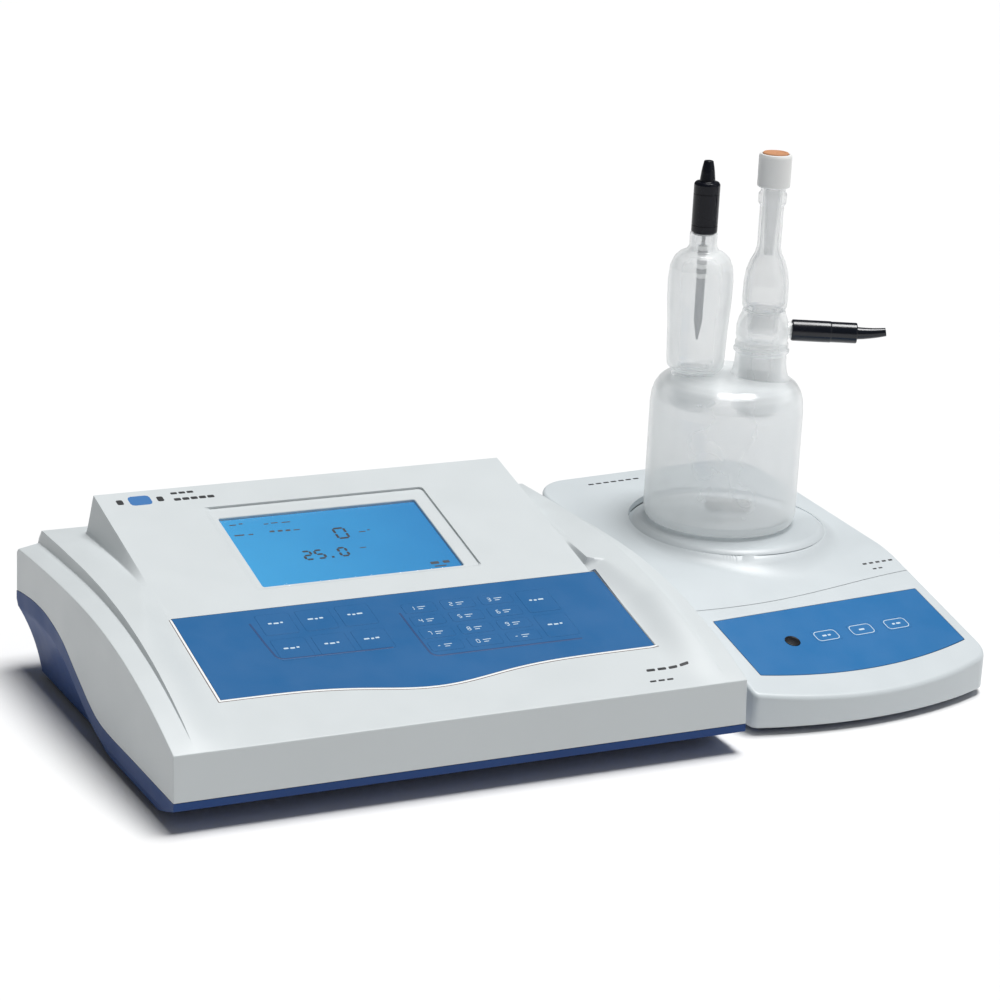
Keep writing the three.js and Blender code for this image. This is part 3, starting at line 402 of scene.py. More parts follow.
def paint(piece, material):
    piece.data.materials.clear()
    piece.data.materials.append(material)
    return piece


def settle(piece, body, nodes=(), angle=35):
    """Puts a finished piece into the row frame, on its body; edges past the angle stay sharp."""
    piece.data.transform(ROW)
    piece.data.shade_smooth()
    piece.data.set_sharp_from_angle(angle=math.radians(angle))
    piece.modifiers.new("even_normals", "WEIGHTED_NORMAL").keep_sharp = True
    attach(piece, body)
    if nodes:
        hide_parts(*nodes)


def copy_of(piece, name):
    twin = bpy.data.objects.new(name, piece.data.copy())
    bpy.context.scene.collection.objects.link(twin)
    return twin


# ---------------------------------------------------------------- materials

def fill(node, values):
    for name, value in values.items():
        node.inputs[name].default_value = value


def shader(name, roughness, colour=None, metallic=0.0):
    """A new material with its node tree, its Principled shader and its object-space coordinates."""
    material = bpy.data.materials.new(name)
    material.use_nodes = True
    nodes, links = material.node_tree.nodes, material.node_tree.links
    principled = nodes["Principled BSDF"]
    fill(principled, {"Roughness": roughness, "Metallic": metallic})
    if colour:
        fill(principled, {"Base Color": (*colour, 1)})
    place = nodes.new("ShaderNodeTexCoord").outputs["Object"]
    return material, nodes, links, principled, place


def noise(nodes, links, place, scale, detail, stretch=(1, 1, 1)):
    texture = nodes.new("ShaderNodeTexNoise")
    fill(texture, {"Scale": scale, "Detail": detail})
    mapping = nodes.new("ShaderNodeMapping")
    fill(mapping, {"Scale": stretch})
    links.new(place, mapping.inputs["Vector"])
    links.new(mapping.outputs["Vector"], texture.inputs["Vector"])
    return texture.outputs["Fac"]


def between(nodes, links, value, low, high):
    """Number from low to high as value goes from 0.3 to 0.7, the usual span of a noise."""
    span = nodes.new("ShaderNodeMapRange")
    fill(span, {"From Min": 0.3, "From Max": 0.7, "To Min": low, "To Max": high})
    links.new(value, span.inputs["Value"])
    return span.outputs["Result"]


def tinted(nodes, links, value, low, high):
    """Colour from low to high as value goes from 0.3 to 0.7."""
    colours = nodes.new("ShaderNodeValToRGB")
    for stop, position, colour in zip(colours.color_ramp.elements, (0.3, 0.7), (low, high)):
        stop.position = position
        stop.color = (*colour, 1)
    links.new(value, colours.inputs["Fac"])
    return colours.outputs["Color"]


def bumped(nodes, links, principled, height, strength, distance):
    bump = nodes.new("ShaderNodeBump")
    fill(bump, {"Strength": strength, "Distance": distance})
    links.new(height, bump.inputs["Height"])
    links.new(bump.outputs["Normal"], principled.inputs["Normal"])


def moulded(name, colour, roughness, grain=3200, depth=0.00003, drift=0.03, gloss=0.5):
    """Moulded plastic: a fine spark-eroded grain, slight drift of colour and uneven sheen."""
    material, nodes, links, principled, place = shader(name, roughness)
    cloud = noise(nodes, links, place, 9, 2)
    darker = tuple(c * (1 - drift) for c in colour)
    links.new(tinted(nodes, links, cloud, darker, colour), principled.inputs["Base Color"])
    patches = noise(nodes, links, place, 55, 4)
    links.new(between(nodes, links, patches, roughness - 0.05, roughness + 0.06),
              principled.inputs["Roughness"])
    bumped(nodes, links, principled, noise(nodes, links, place, grain, 2), 0.35, depth)
    fill(principled, {"Specular IOR Level": gloss})
    return material


def brushed(name, colour, roughness):
    """Turned or drawn metal with fine lines across Z."""
    material, nodes, links, principled, place = shader(name, roughness, metallic=1.0)
    lines = noise(nodes, links, place, 90, 5, (1, 1, 40))
    links.new(tinted(nodes, links, lines, tuple(c * 0.86 for c in colour), colour),
              principled.inputs["Base Color"])
    links.new(between(nodes, links, lines, roughness - 0.06, roughness + 0.1), principled.inputs["Roughness"])
    bumped(nodes, links, principled, lines, 0.15, 0.00004)
    return material


def calculated(nodes, links, operation, *values):
    """Output of a maths node whose inputs are numbers or other nodes' outputs."""
    node = nodes.new("ShaderNodeMath")
    node.operation = operation
    for place, value in zip(node.inputs, values):
        if isinstance(value, (int, float)):
            place.default_value = value
        else:
            links.new(value, place)
    return node.outputs[0]


def power_of_rim(nodes, links, facing, exponent, factor, base):
    """base + factor * facing ** exponent, where facing is 1 at the rims."""
    power = calculated(nodes, links, "POWER", facing, exponent)
    return calculated(nodes, links, "MULTIPLY_ADD", power, factor, base)


def mixed(nodes, links, share, first, second):
    """Output of a mix of two shaders; share is how much of the second shows."""
    mix = nodes.new("ShaderNodeMixShader")
    for place, value in zip(mix.inputs, (share, first, second)):
        links.new(value, place)
    return mix.outputs[0]


def glazed(name, tint, veil, edge, inner, roughness=0.08):
    """Glass wall: clear, with a pale veil that thickens towards its rims, and a sharp gloss.

    inner is the strength of a painted glow: the wall gives off its own tint as emission, so the frosted glass
    shines brighter than the lamps alone make it.
    """
    material, nodes, links, principled, place = shader(name, 0.5, tint)
    # painted glow: the wall emits its own tint at strength inner, standing in for light the glass would pick
    # up from its surroundings
    fill(principled, {"Emission Color": (*tint, 1), "Emission Strength": inner})
    haze = noise(nodes, links, place, 38, 3)
    rim = nodes.new("ShaderNodeLayerWeight")
    fill(rim, {"Blend": 0.5})
    facing = rim.outputs["Facing"]
    thick = power_of_rim(nodes, links, facing, 2.0, edge, between(nodes, links, haze, veil * 0.97,
                                                                  veil * 1.03))
    clear = nodes.new("ShaderNodeBsdfTransparent")
    body = mixed(nodes, links, thick, clear.outputs[0], principled.outputs[0])
    gloss = nodes.new("ShaderNodeBsdfGlossy")
    fill(gloss, {"Roughness": roughness})
    mirror = power_of_rim(nodes, links, facing, 4.5, 0.34, 0.04)
    links.new(mixed(nodes, links, mirror, body, gloss.outputs[0]), nodes["Material Output"].inputs["Surface"])
    return material


CASE = moulded("case_white", (0.615, 0.652, 0.664), 0.42)
CASE_STIRRER = moulded("case_white_stirrer", (0.605, 0.65, 0.672), 0.38)
BASE_BLUE = moulded("base_blue", (0.024, 0.066, 0.215), 0.45, drift=0.18, gloss=0.15)
OVERLAY = moulded("overlay_blue", (0.017, 0.126, 0.325), 0.38, grain=1600, depth=0.000006, drift=0.08,
                  gloss=0.3)
OVERLAY_STIRRER = moulded("stirrer_overlay_blue", (0.019, 0.158, 0.395), 0.38, grain=1600, depth=0.000006,
                          drift=0.08, gloss=0.3)
OVERLAY_LINE = moulded("overlay_line", (0.012, 0.062, 0.19), 0.4)
FILM_BORDER = moulded("film_border_white", (0.86, 0.87, 0.87), 0.35)
# painted shadow: a brown line standing in for the shade along the film recess's left and bottom edge
PAINTED_RECESS_SHADOW = moulded("painted_recess_shadow_brown", (0.13, 0.085, 0.07), 0.5)
INK_WHITE = moulded("ink_white", (0.55, 0.68, 0.78), 0.5)
INK_BLACK = moulded("ink_black", (0.012, 0.013, 0.016), 0.5)
INK_GREY = moulded("ink_grey", (0.045, 0.05, 0.06), 0.5)
INK_BLUE = moulded("ink_blue", (0.03, 0.16, 0.42), 0.45)
BLACK = moulded("black_plastic", (0.005, 0.006, 0.011), 0.28, grain=2600, depth=0.00001, gloss=0.25)
BLACK_GLOSS = moulded("black_grip", (0.006, 0.008, 0.014), 0.22, grain=2200, depth=0.00001)
LENS = moulded("indicator_black", (0.004, 0.004, 0.006), 0.38, grain=600, depth=0.000005, gloss=0.2)
RUBBER = moulded("foot_rubber", (0.018, 0.02, 0.028), 0.75, grain=1500, depth=0.00006)
CAP_WHITE = moulded("cap_white", (0.92, 0.925, 0.91), 0.4)
SEPTUM = moulded("septum_orange", (0.66, 0.31, 0.15), 0.6, drift=0.12)
PTFE = moulded("ptfe_white", (0.88, 0.88, 0.87), 0.35)
FRIT = moulded("frit_white", (0.86, 0.86, 0.83), 0.9, grain=1800, depth=0.0003)
BOARD = moulded("circuit_board", (0.03, 0.16, 0.06), 0.45, grain=900, depth=0.00006, drift=0.3)
CORE = moulded("transformer_core", (0.35, 0.2, 0.11), 0.6, grain=500, depth=0.0002, drift=0.3)
NICKEL = brushed("nickel", (0.66, 0.66, 0.64), 0.22)
STEEL = brushed("electrode_steel", (0.13, 0.14, 0.155), 0.35)
MOTOR = brushed("motor_steel", (0.6, 0.61, 0.64), 0.34)
# inner below is the strength of each glass's painted glow
GLASS = glazed("cell_glass", (0.91, 0.935, 0.94), 0.25, 0.34, inner=0.14)
GLASS_MILKY = glazed("cell_glass_milky", (0.9, 0.93, 0.94), 0.27, 0.34, inner=0.12, roughness=0.12)
GLASS_CLEAR = glazed("cell_glass_clear", (0.86, 0.89, 0.9), 0.16, 0.42, inner=0.07, roughness=0.05)
PANE = glazed("clear_window", (0.4, 0.6, 0.8), 0.01, 0.05, inner=0, roughness=0.05)


# ---------------------------------------------------------------- console shapes

SPLIT_LINE = catmull(SPLIT, 8)


def plane_height(y):
    return FRONT_HEIGHT + SLOPE * (y - FRONT_Y)


def arch_height(arch, y):
    """The long arch of a wing or rail: level near its top, falling faster towards the front."""
    if y > arch["top_y"]:
        t = (y - arch["top_y"]) / (LEDGE_END_Y - arch["top_y"])
        return arch["top_z"] - arch["rear_drop"] * t * t
    t = (arch["top_y"] - y) / (arch["top_y"] - FRONT_Y)
    return arch["top_z"] - arch["drop"] * t ** arch["power"]


def cover_height(x, y):
    across = abs(x)
    plane, wing = plane_height(y), arch_height(WING, y)
    soft = clamp((1 - y) / 36)
    t = (across - RAISED_HALF) / along_table(RIGHT_WIDTHS if x > 0 else LEFT_WIDTHS, y)
    side = (1 - soft) * ramp(clamp(t, 0, 2), 0.12) + soft * smooth_step(t) if t > 0 else 0
    rear = ramp((y - RAISED_REAR_Y) / (LEDGE_Y - RAISED_REAR_Y), 0.3)
    height = wing + (plane - wing) * (1 - side) * (1 - rear)
    if across < SHELF_HALF - 1:
        return height
    groove = GROOVE_DEPTH * clamp((y - FRONT_Y - GROOVE_START) / (REAR_Y - FRONT_Y)) ** GROOVE_FADE
    step = 0.25 + (RAIL_HALF - SHELF_HALF - 0.25) * groove / GROOVE_DEPTH
    height -= groove * ramp((across - RAIL_HALF + step) / step, 0.08)
    rail = arch_height(RAIL, y) - (wing - groove)
    return height + rail * ramp((across - RAIL_HALF) / (HALF_WIDTH - RAIL_HALF), 0.04)


def cover_stations():
    """Places across the cover, close together where it bends, with how far each is lowered at the rim."""
    half = spread(110.2, 115.4, 30) + spread(116.5, 131.8, 12) + spread(132.6, 134.7, 18)
    half += spread(136, HALF_WIDTH - COVER_EDGE, 5)
    stations = [(x, 0) for x in half]
    for a in spread(0, math.pi / 2, 6)[1:]:
        stations.append((HALF_WIDTH - COVER_EDGE * (1 - math.sin(a)), COVER_EDGE * (1 - math.cos(a))))
    return [(-x, d) for x, d in reversed(stations)] + stations


def cover_ring(x, lowered):
    """The cover's side outline at one place across, from the front sill over the top to the rear wall."""
    def top(y):
        return cover_height(x, y) - lowered
    lengths = spread(-101, -8, 32) + spread(-7, 6, 26) + spread(8, 102, 34) + spread(102.6, 107, 16)
    lengths += spread(109, 114, 2)
    front = [(SILL_Y + lowered, 16), (FRONT_Y + lowered, top(FRONT_Y)), (lengths[0], top(lengths[0]))]
    rear = [(lengths[-1], top(lengths[-1])), (LEDGE_END_Y, top(LEDGE_END_Y)),
            (REAR_Y - lowered, min(cover_height(x, LEDGE_END_Y) - 2, 66) - lowered), (REAR_Y - lowered, 8)]
    front_line = fillet(front, 0.7, closed=False)
    rear_line = fillet(rear, 1.2, closed=False)
    line = [(SILL_Y + lowered, 8), *front_line, *[(y, top(y)) for y in lengths[1:-1]], *rear_line]
    return [(x, y, z) for y, z in line]


def across_bench(name, outline, left=-FAR, right=FAR):
    """Side outline of (y, z) drawn out across X."""
    return skin(name, [[(left, y, z) for y, z in outline], [(right, y, z) for y, z in outline]])


def under_split(lowered=0):
    line = [(y, z - lowered) for y, z in SPLIT_LINE]
    return across_bench("under_split", [(-FAR, -20), (-FAR, line[0][1]), *line, (FAR, line[-1][1]),
                                        (FAR, -20)])


def cover_cavity():
    front, rear = FRONT_Y + WALL, REAR_Y - WALL
    back = RAISED_REAR_Y - WALL
    shelf = WING["top_z"] - WING["rear_drop"] - WALL - 0.8
    middle = across_bench("middle", [
        (front, -5), (front, plane_height(front) - WALL - 0.4), (back, plane_height(back) - WALL - 0.4),
        (back + 1, shelf), (rear, shelf), (rear, -5)], -RAISED_HALF + WALL, RAISED_HALF - WALL)
    roof = [(y, min(plane_height(y), arch_height(RAIL, y)) - WALL - 0.8) for y in spread(front, rear, 24)]
    wings = across_bench("wings", [(front, -5), *roof, (rear, -5)], -HALF_WIDTH + WALL, HALF_WIDTH - WALL)
    return combine(middle, [wings], "UNION")


def panel_foot(x):
    return PANEL_FOOT - PANEL_DIP * math.exp(-((x - DIP_AT) / DIP_WIDTH) ** 2)


def panel_foot_line(grow, steps=60):
    return [(x + grow * (2 * i / steps - 1), panel_foot(x) - grow)
            for i, x in enumerate(spread(PANEL_LEFT, PANEL_RIGHT, steps))]


def panel_outline(grow=0):
    foot, corner = panel_foot_line(grow), 0.5
    points = [(*p, 0) for p in foot[1:-1]]
    corners = [(*foot[-1], corner), (PANEL_RIGHT + grow, PANEL_TOP + grow, corner),
               (PANEL_LEFT - grow, PANEL_TOP + grow, corner)]
    return fillet([(*foot[0], corner), *points, *corners], corner)


def bezel_cutter():
    """The display's shallow tray: steep above and on the right, a soft slope on the left and below."""
    left, right, low, high = BEZEL
    def ring(t, z):
        return [(*p, z) for p in rounded_rectangle(left + 3.6 * (1 - t), right, low + 2.6 * (1 - t), high,
                                                   2.2)]
    rings = [ring(0, -BEZEL_DEPTH), ring(0.45, -0.5), ring(0.8, -0.16), ring(1, 0), ring(1, 4)]
    return skin("bezel", rings, TOP_PLANE)


def make_cover():
    cover = skin("console_cover", [cover_ring(x, d) for x, d in cover_stations()])
    cuts = [under_split(), cover_cavity(), bezel_cutter()]
    cuts.append(stack("pocket", panel_outline(GAP), flared_levels(-POCKET, 0, 0.25), TOP_PLANE))
    cuts.append(stack("view", rounded_rectangle(*VIEW, 1.2),
                      [(0, -20), (0, -BEZEL_DEPTH - 0.3), (-0.3, -BEZEL_DEPTH), (-0.3, -BEZEL_DEPTH + 0.2)],
                      TOP_PLANE))
    for well in WELLS:
        cuts.append(stack("well", rounded_rectangle(*well, 3), [(0, -20), (0, -POCKET + 0.2)], TOP_PLANE))
    cuts += [rear_hole(INLET_X, INLET_WIDTH, INLET_HEIGHT), rear_hole(ROCKER_X, ROCKER_WIDTH, ROCKER_HEIGHT)]
    for x in SOCKET_XS.values():
        cuts.append(stack("bore", circle(SOCKET_RADIUS + GAP, 32, x), [(0, -12), (0, 12)], REAR_FACE))
    combine(cover, cuts)
    settle(paint(cover, CASE), "console", ["console_top_cover"], angle=28)


def rear_hole(x, width, height):
    w, h = width / 2 + GAP, height / 2 + GAP
    return stack("hole", rounded_rectangle(x - w, x + w, -h, h, 0.6), [(0, -12), (0, 12)], REAR_FACE)


def foot_inset(y):
    """How far the foot stands in from the side wall: hardly in front, more behind."""
    return FOOT_INSET["front"] + FOOT_INSET["growth"] * smooth_step((y - FOOT_INSET["from_y"])
                                                                    / FOOT_INSET["over"])


def base_ring(side, rise, sunk):
    """Outline of the tub on one side; rise goes from 0 at the floor to 1 at the upright band."""
    wall = HALF_WIDTH - sunk
    def band(y):
        return max(BASE_RISE, along_table(SPLIT_LINE, y) - BASE_BAND)
    def low(y):
        return BASE_BOTTOM + sunk + (band(y) - BASE_BOTTOM - sunk) * rise
    def front_at(z):
        return BASE_FRONT_Y + (SILL_Y - BASE_FRONT_Y) * clamp((z - BASE_BOTTOM)
                                                              / (BASE_FRONT_RISE - BASE_BOTTOM))
    def rear_at(z):
        return BASE_REAR_Y + (REAR_Y - BASE_REAR_Y) * clamp((z - BASE_BOTTOM) / (UNDERCUT_Z - BASE_BOTTOM))
    front = front_at(low(SILL_Y)) + sunk
    rear = rear_at(low(REAR_Y)) - sunk
    bottom = [(y, low(y)) for y in spread(front, rear, 60)]
    rear_line = [(REAR_Y - sunk, max(UNDERCUT_Z, low(REAR_Y) + 1)), (REAR_Y - sunk, BASE_TOP)]
    front_line = [(SILL_Y + sunk, BASE_TOP), (SILL_Y + sunk, BASE_FRONT_RISE)]
    return [(side * (wall - foot_inset(y) * (1 - rise * rise)), y, z) for y,
            z in bottom + rear_line + front_line]


def base_body(name, sunk=0):
    rises = spread(0, 1, 10)
    rings = [base_ring(-1, t, sunk) for t in reversed(rises)] + [base_ring(1, t, sunk) for t in rises]
    return skin(name, rings)


def posts(places, radius, low, high, place=BENCH):
    return [stack("post", circle(radius, 24, x, y), [(0, low), (0, high)], place) for x, y in places]


def make_base():
    base = base_body("console_tub")
    combine(base, [under_split(GAP)], "INTERSECT")
    combine(base, [base_body("inside", WALL)])
    combine(base, posts(BASE_POSTS, 4, BASE_BOTTOM + 1, 12.7), "UNION")
    settle(paint(base, BASE_BLUE), "console", ["console_base"], angle=30)


def slope_plate(name, outline, low, high, rim, place=TOP_PLANE):
    return stack(name, outline, soft_levels(low, high, 0, rim, 3), place)


def console_keys():
    return [(x, y, width, height) for columns, rows, width, height in KEY_GRIDS for y in rows
            for x in columns]


def key_outline(key, grow=0):
    x, y, width, height = key
    w, h = width / 2 + grow, height / 2 + grow
    return rounded_rectangle(x - w, x + w, y - h, y + h, KEY_CORNER + grow, 4)


def make_film(name, outline, keys, material, body, node, place, holes=()):
    """Printed film with an opening for each key."""
    film = slope_plate(name, outline, -FILM, 0, 0.12, place)
    cuts = [stack("opening", key_outline(key, KEY_GAP), [(0, -5), (0, 5)], place) for key in keys]
    combine(film, cuts + list(holes))
    settle(paint(film, material), body, [node], angle=30)


def mark_bar(x, y, width, height, place, material, lift=0, lean=0):
    """One printed dash."""
    w, h = width / 2, height / 2
    corners = [(x - w - lean, y - h), (x + w - lean, y - h), (x + w + lean, y + h), (x - w + lean, y + h)]
    return paint(stack("mark", fillet(corners, min(w, h) * 0.5, 2), [(0, lift), (0.02, lift + PRINT)],
                       place), material)


SEGMENTS = {"0": "abcdef", "1": "bc", "2": "abged", "3": "abgcd", "4": "fgbc", "5": "afgcd",
            "6": "afgedc", "7": "abc", "8": "abcdefg", "9": "abfgcd", "-": "g"}


def numeral(digit, x, y, width, height, stroke, place, material, lift):
    """A seven-segment numeral whose lower left corner is at x, y."""
    top, middle, low = y + height - stroke / 2, y + height / 2, y + stroke / 2
    left, right = x + stroke / 2, x + width - stroke / 2
    ends = {"a": (left, top, right, top), "b": (right, top, right, middle), "c": (right, middle, right, low),
            "d": (left, low, right, low), "e": (left, middle, left, low), "f": (left, top, left, middle),
            "g": (left, middle, right, middle)}
    bars = []
    for segment in SEGMENTS[digit]:
        x0, y0, x1, y1 = ends[segment]
        along, gap = (Vector((x1, y1)) - Vector((x0, y0))).normalized(), stroke * 0.14
        start, end = Vector((x0, y0)) + along * gap, Vector((x1, y1)) - along * gap
        side = Vector((-along.y, along.x)) * stroke / 2
        hexagon = [start, start + along * stroke / 2 + side, end - along * stroke / 2 + side,
                   end, end - along * stroke / 2 - side, start + along * stroke / 2 - side]
        bars.append(paint(stack("bar", [tuple(p) for p in hexagon], [(0, lift), (0.01, lift + PRINT)],
                                place), material))
    return bars


def key_marks(index, key, place, proud):
    """Generic print on a key: a numeral on the number keys, short dashes on the others."""
    x, y, _, height = key
    numbers = "123456789-0-"
    if height < 10:
        marks = numeral(numbers[(index - 6) % 12], x - 4.6, y - 1.5, 1.9, 3.1, 0.42, place, INK_WHITE, proud)
        marks.append(mark_bar(x + 1.2, y + 0.7, 4.2, 0.5, place, INK_WHITE, proud))
        marks.append(mark_bar(x + 0.4, y - 0.9, 2.6, 0.5, place, INK_WHITE, proud))
        return marks
    lengths = [(1.9, 2.6, 1.4), (2.8, 1.5, 2.0), (1.6, 1.6, 2.9), (2.4, 2.4, 1.5)][index % 4]
    start = x - (sum(lengths) + 1.6) / 2 - 0.4
    marks = []
    for i, length in enumerate(lengths):
        marks.append(mark_bar(start + length / 2, y + 0.9 - 0.25 * (i % 2), length, 1.1, place, INK_WHITE,
                              proud))
        start += length + 0.8
    return marks


def make_key(name, key, body, place, material, proud, marks):
    """Key cap with its print, a hair above the film, and the stem that presses the dome."""
    cap = slope_plate(name, key_outline(key), -FILM, proud, 0.1, place)
    x, y = key[:2]
    stem = stack("stem", rounded_rectangle(x - 3, x + 3, y - 2, y + 2, 0.5, 3),
                 [(0, -6.9), (0, -FILM + 0.1)], place)
    combine(cap, [stem], "UNION")
    join(paint(cap, material), marks)
    settle(cap, body, [name.replace("_cap", "")], angle=30)


def make_console_film():
    keys = console_keys()
    make_film("keypad_film", panel_outline(), keys, OVERLAY, "console", "console_overlay",
              TOP_PLANE)
    for i, key in enumerate(keys):
        node = f"console_key_{i + 1:02d}"
        make_key(node + "_cap", key, "body_" + node, TOP_PLANE, OVERLAY, 0.06,
                 key_marks(i, key, TOP_PLANE, 0.06))


def from_front(v):
    """Bench Y of a place v up the sloped top."""
    return FRONT_Y + v * math.cos(math.atan(SLOPE))


def drape(piece):
    """Lifts a flat print made on the bench onto the cover's top."""
    for vertex in piece.data.vertices:
        vertex.co.z += cover_height(vertex.co.x, vertex.co.y)
    return piece


def make_film_border():
    """White edge along the film's left side and its curved foot, and a brown line of painted shadow beside
    it, where the recess edge casts shade.
    """
    def edge(grow):
        foot = panel_foot_line(grow)
        left = [(PANEL_LEFT - grow, v) for v in spread(PANEL_TOP - 1, foot[0][1] + 1, 40)]
        return [(u, from_front(v)) for u, v in left + foot]
    white = drape(ribbon("film_border", edge(0.72), 1.1, 0.08))
    settle(paint(white, FILM_BORDER), "console")
    # painted shadow line beside the white edge, where the recess edge throws shade
    line = drape(ribbon("film_painted_shadow_line", edge(1.5), 0.42, 0.1))
    settle(paint(line, PAINTED_RECESS_SHADOW), "console")


def make_brackets():
    """Embossed corner lines at the two groups of keys; the left one crosses the foot of keys 04 to 06."""
    lines = {
        "left": [(-74.6, 92), (-73.4, 75), (-71.9, 61.4, 4), (-14.5, 60.2)],
        "right": [(0.2, 86.8), (0.6, 70), (1.4, 49.4, 4), (80, 49.2)],
    }
    for side, points in lines.items():
        line = ribbon(f"bracket_{side}", fillet(points, 0, 8, closed=False), 1.1, 0.1, TOP_PLANE)
        settle(paint(line, OVERLAY_LINE), "console")


def make_display():
    left, right, low, high = VIEW
    pane = slope_plate("display_pane", rounded_rectangle(left + GAP, right - GAP, low + GAP, high - GAP, 1.2),
                       PANE_TOP - PANE_THICK, PANE_TOP, 0.1)
    settle(paint(pane, PANE), "console", ["display_window"])
    face = PANE_TOP - PANE_THICK - GAP
    panel = slope_plate("display_panel", rounded_rectangle(left + GAP, right - GAP, low + GAP, high - GAP, 1),
                        -4.7, face, 0.05)
    body = slope_plate("panel_body", rounded_rectangle(left - 6, right + 6, low - 6, high + 6, 1), -13.7,
                       -3.7, 0.3)
    combine(panel, [body], "UNION")
    settle(paint(panel, lit_display()), "console", ["display_module"])
    marks = display_marks(face)
    marks[0].name = "display_figures"
    settle(join(marks[0], marks[1:]), "console")


def display_marks(face):
    """Dark figures on the lit display: a reading, a set value and small generic signs."""
    dark, faint = INK_BLACK, INK_GREY
    marks = numeral("0", -2.2, 158.6, 7.0, 10.4, 1.35, TOP_PLANE, dark, face)
    for digit, x in (("2", -25.6), ("5", -19.2), ("0", -6.8)):
        marks += numeral(digit, x, 143, 5.4, 8.6, 1.4, TOP_PLANE, dark, face)
    marks.append(mark_bar(-10.9, 143.8, 1.5, 1.5, TOP_PLANE, dark, face))
    for x, y, width, height in ((12.6, 163.2, 3.6, 0.8), (16.4, 164.2, 1.4, 0.8), (7.3, 149.2, 3.4, 0.7),
                                (-50, 180.4, 3.4, 0.9), (-45.6, 180.9, 2.2, 0.9), (-50, 170.9, 5.2, 1.1),
                                (-44, 170.7, 2.6, 0.9), (-33, 178.6, 2.4, 0.8), (-28.5, 178.9, 3.6, 0.8),
                                (-22.5, 178.5, 4.6, 0.8), (-32.5, 171.5, 2.6, 1.5), (-28.3, 171.3, 2.6, 1.5),
                                (-24.2, 171.1, 2.6, 1.5), (-19.6, 170.8, 3.4, 0.8), (37.6, 129.3, 4.6, 2.2),
                                (43.8, 129.3, 3.6, 2.2), (39.5, 126.2, 6.4, 1.0)):
        marks.append(mark_bar(x, y, width, height, TOP_PLANE, faint, face))
    return marks


def lit_display():
    """Back-lit blue liquid crystal, brighter on the left and slightly cloudy."""
    material, nodes, links, principled, place = shader("display_blue", 0.25)
    split = nodes.new("ShaderNodeSeparateXYZ")
    links.new(place, split.inputs[0])
    view_left, view_right = ((ROW @ Vector((x, 0, 0))).x for x in VIEW[:2])
    along = nodes.new("ShaderNodeMapRange")
    fill(along, {"From Min": view_left, "From Max": view_right})
    links.new(split.outputs["X"], along.inputs["Value"])
    colours = nodes.new("ShaderNodeValToRGB")
    colours.color_ramp.elements[0].color = (0.034, 0.262, 0.51, 1)
    colours.color_ramp.elements[1].color = (0.016, 0.18, 0.41, 1)
    cloud = noise(nodes, links, place, 26, 2)
    drift = calculated(nodes, links, "MULTIPLY_ADD", cloud, 0.5, along.outputs["Result"])
    links.new(calculated(nodes, links, "SUBTRACT", drift, 0.25), colours.inputs["Fac"])
    links.new(colours.outputs["Color"], principled.inputs["Base Color"])
    links.new(colours.outputs["Color"], principled.inputs["Emission Color"])
    fill(principled, {"Emission Strength": 0.45})
    return material


# ---------------------------------------------------------------- console details

def make_generic_marks():
    """Plain bars and a block where a maker would print, and short dashes for a type line."""
    marks = [mark_bar(x, 206.5, 3.4, 4.4, TOP_PLANE, INK_BLACK) for x in (-100, -79)]
    marks += [mark_bar(-89.5, 206.7, 11.5, 8.4, TOP_PLANE, INK_BLUE)]
    marks += [mark_bar(x, 210.4, 3.4, 1.9, TOP_PLANE, INK_BLACK) for x in (-70.6, -66.3, -62.0)]
    marks += [mark_bar(x, 204.6, 3.6, 2.4, TOP_PLANE, INK_BLACK) for x in (-70.6, -66.2, -61.8, -57.4, -53.0)]
    flat = [mark_bar(x, from_front(17.2), 4.6, 1.9, BENCH, INK_BLACK, lean=0.3)
            for x in (101.2, 107.2, 113.2, 119.2)]
    flat += [mark_bar(x, from_front(8.4), 3.4, 1.3, BENCH, INK_BLACK, lean=0.2) for x in (98, 102.6, 107.2)]
    marks += [drape(mark) for mark in flat]
    marks[0].name = "generic_marks"
    settle(join(marks[0], marks[1:]), "console")


def make_inlet():
    """Mains inlet: a flange, a well with clipped corners and three flat pins."""
    w, h = INLET_WIDTH / 2, INLET_HEIGHT / 2
    x = INLET_X
    flange = stack("inlet", rounded_rectangle(x - w - 3, x + w + 3, -h - 2.5, h + 2.5, 3),
                   soft_levels(GAP, 2.4, 0, 0.6), REAR_FACE)
    well = stack("inlet_well", rounded_rectangle(x - w, x + w, -h, h, 1), [(0, -22), (0, 1)], REAR_FACE)
    hollow = [(x - 11, 7), (x + 11, 7), (x + 11, -3), (x + 7, -7), (x - 7, -7), (x - 11, -3)]
    combine(flange, [well], "UNION")
    combine(flange, [stack("inlet_hollow", fillet(hollow, 0.8, 3), flared_levels(-18, 2.4, 0.4), REAR_FACE)])
    paint(flange, BLACK)
    pins = []
    for across, up in ((-6, -2), (0, 2.5), (6, -2)):
        outline = rounded_rectangle(x + across - 1, x + across + 1, -up - 2, -up + 2, 0.4, 3)
        pins.append(paint(stack("pin", outline, soft_levels(-18.5, -3, 0, 0.5, 3), REAR_FACE), NICKEL))
    settle(join(flange, pins), "console", ["mains_inlet"])


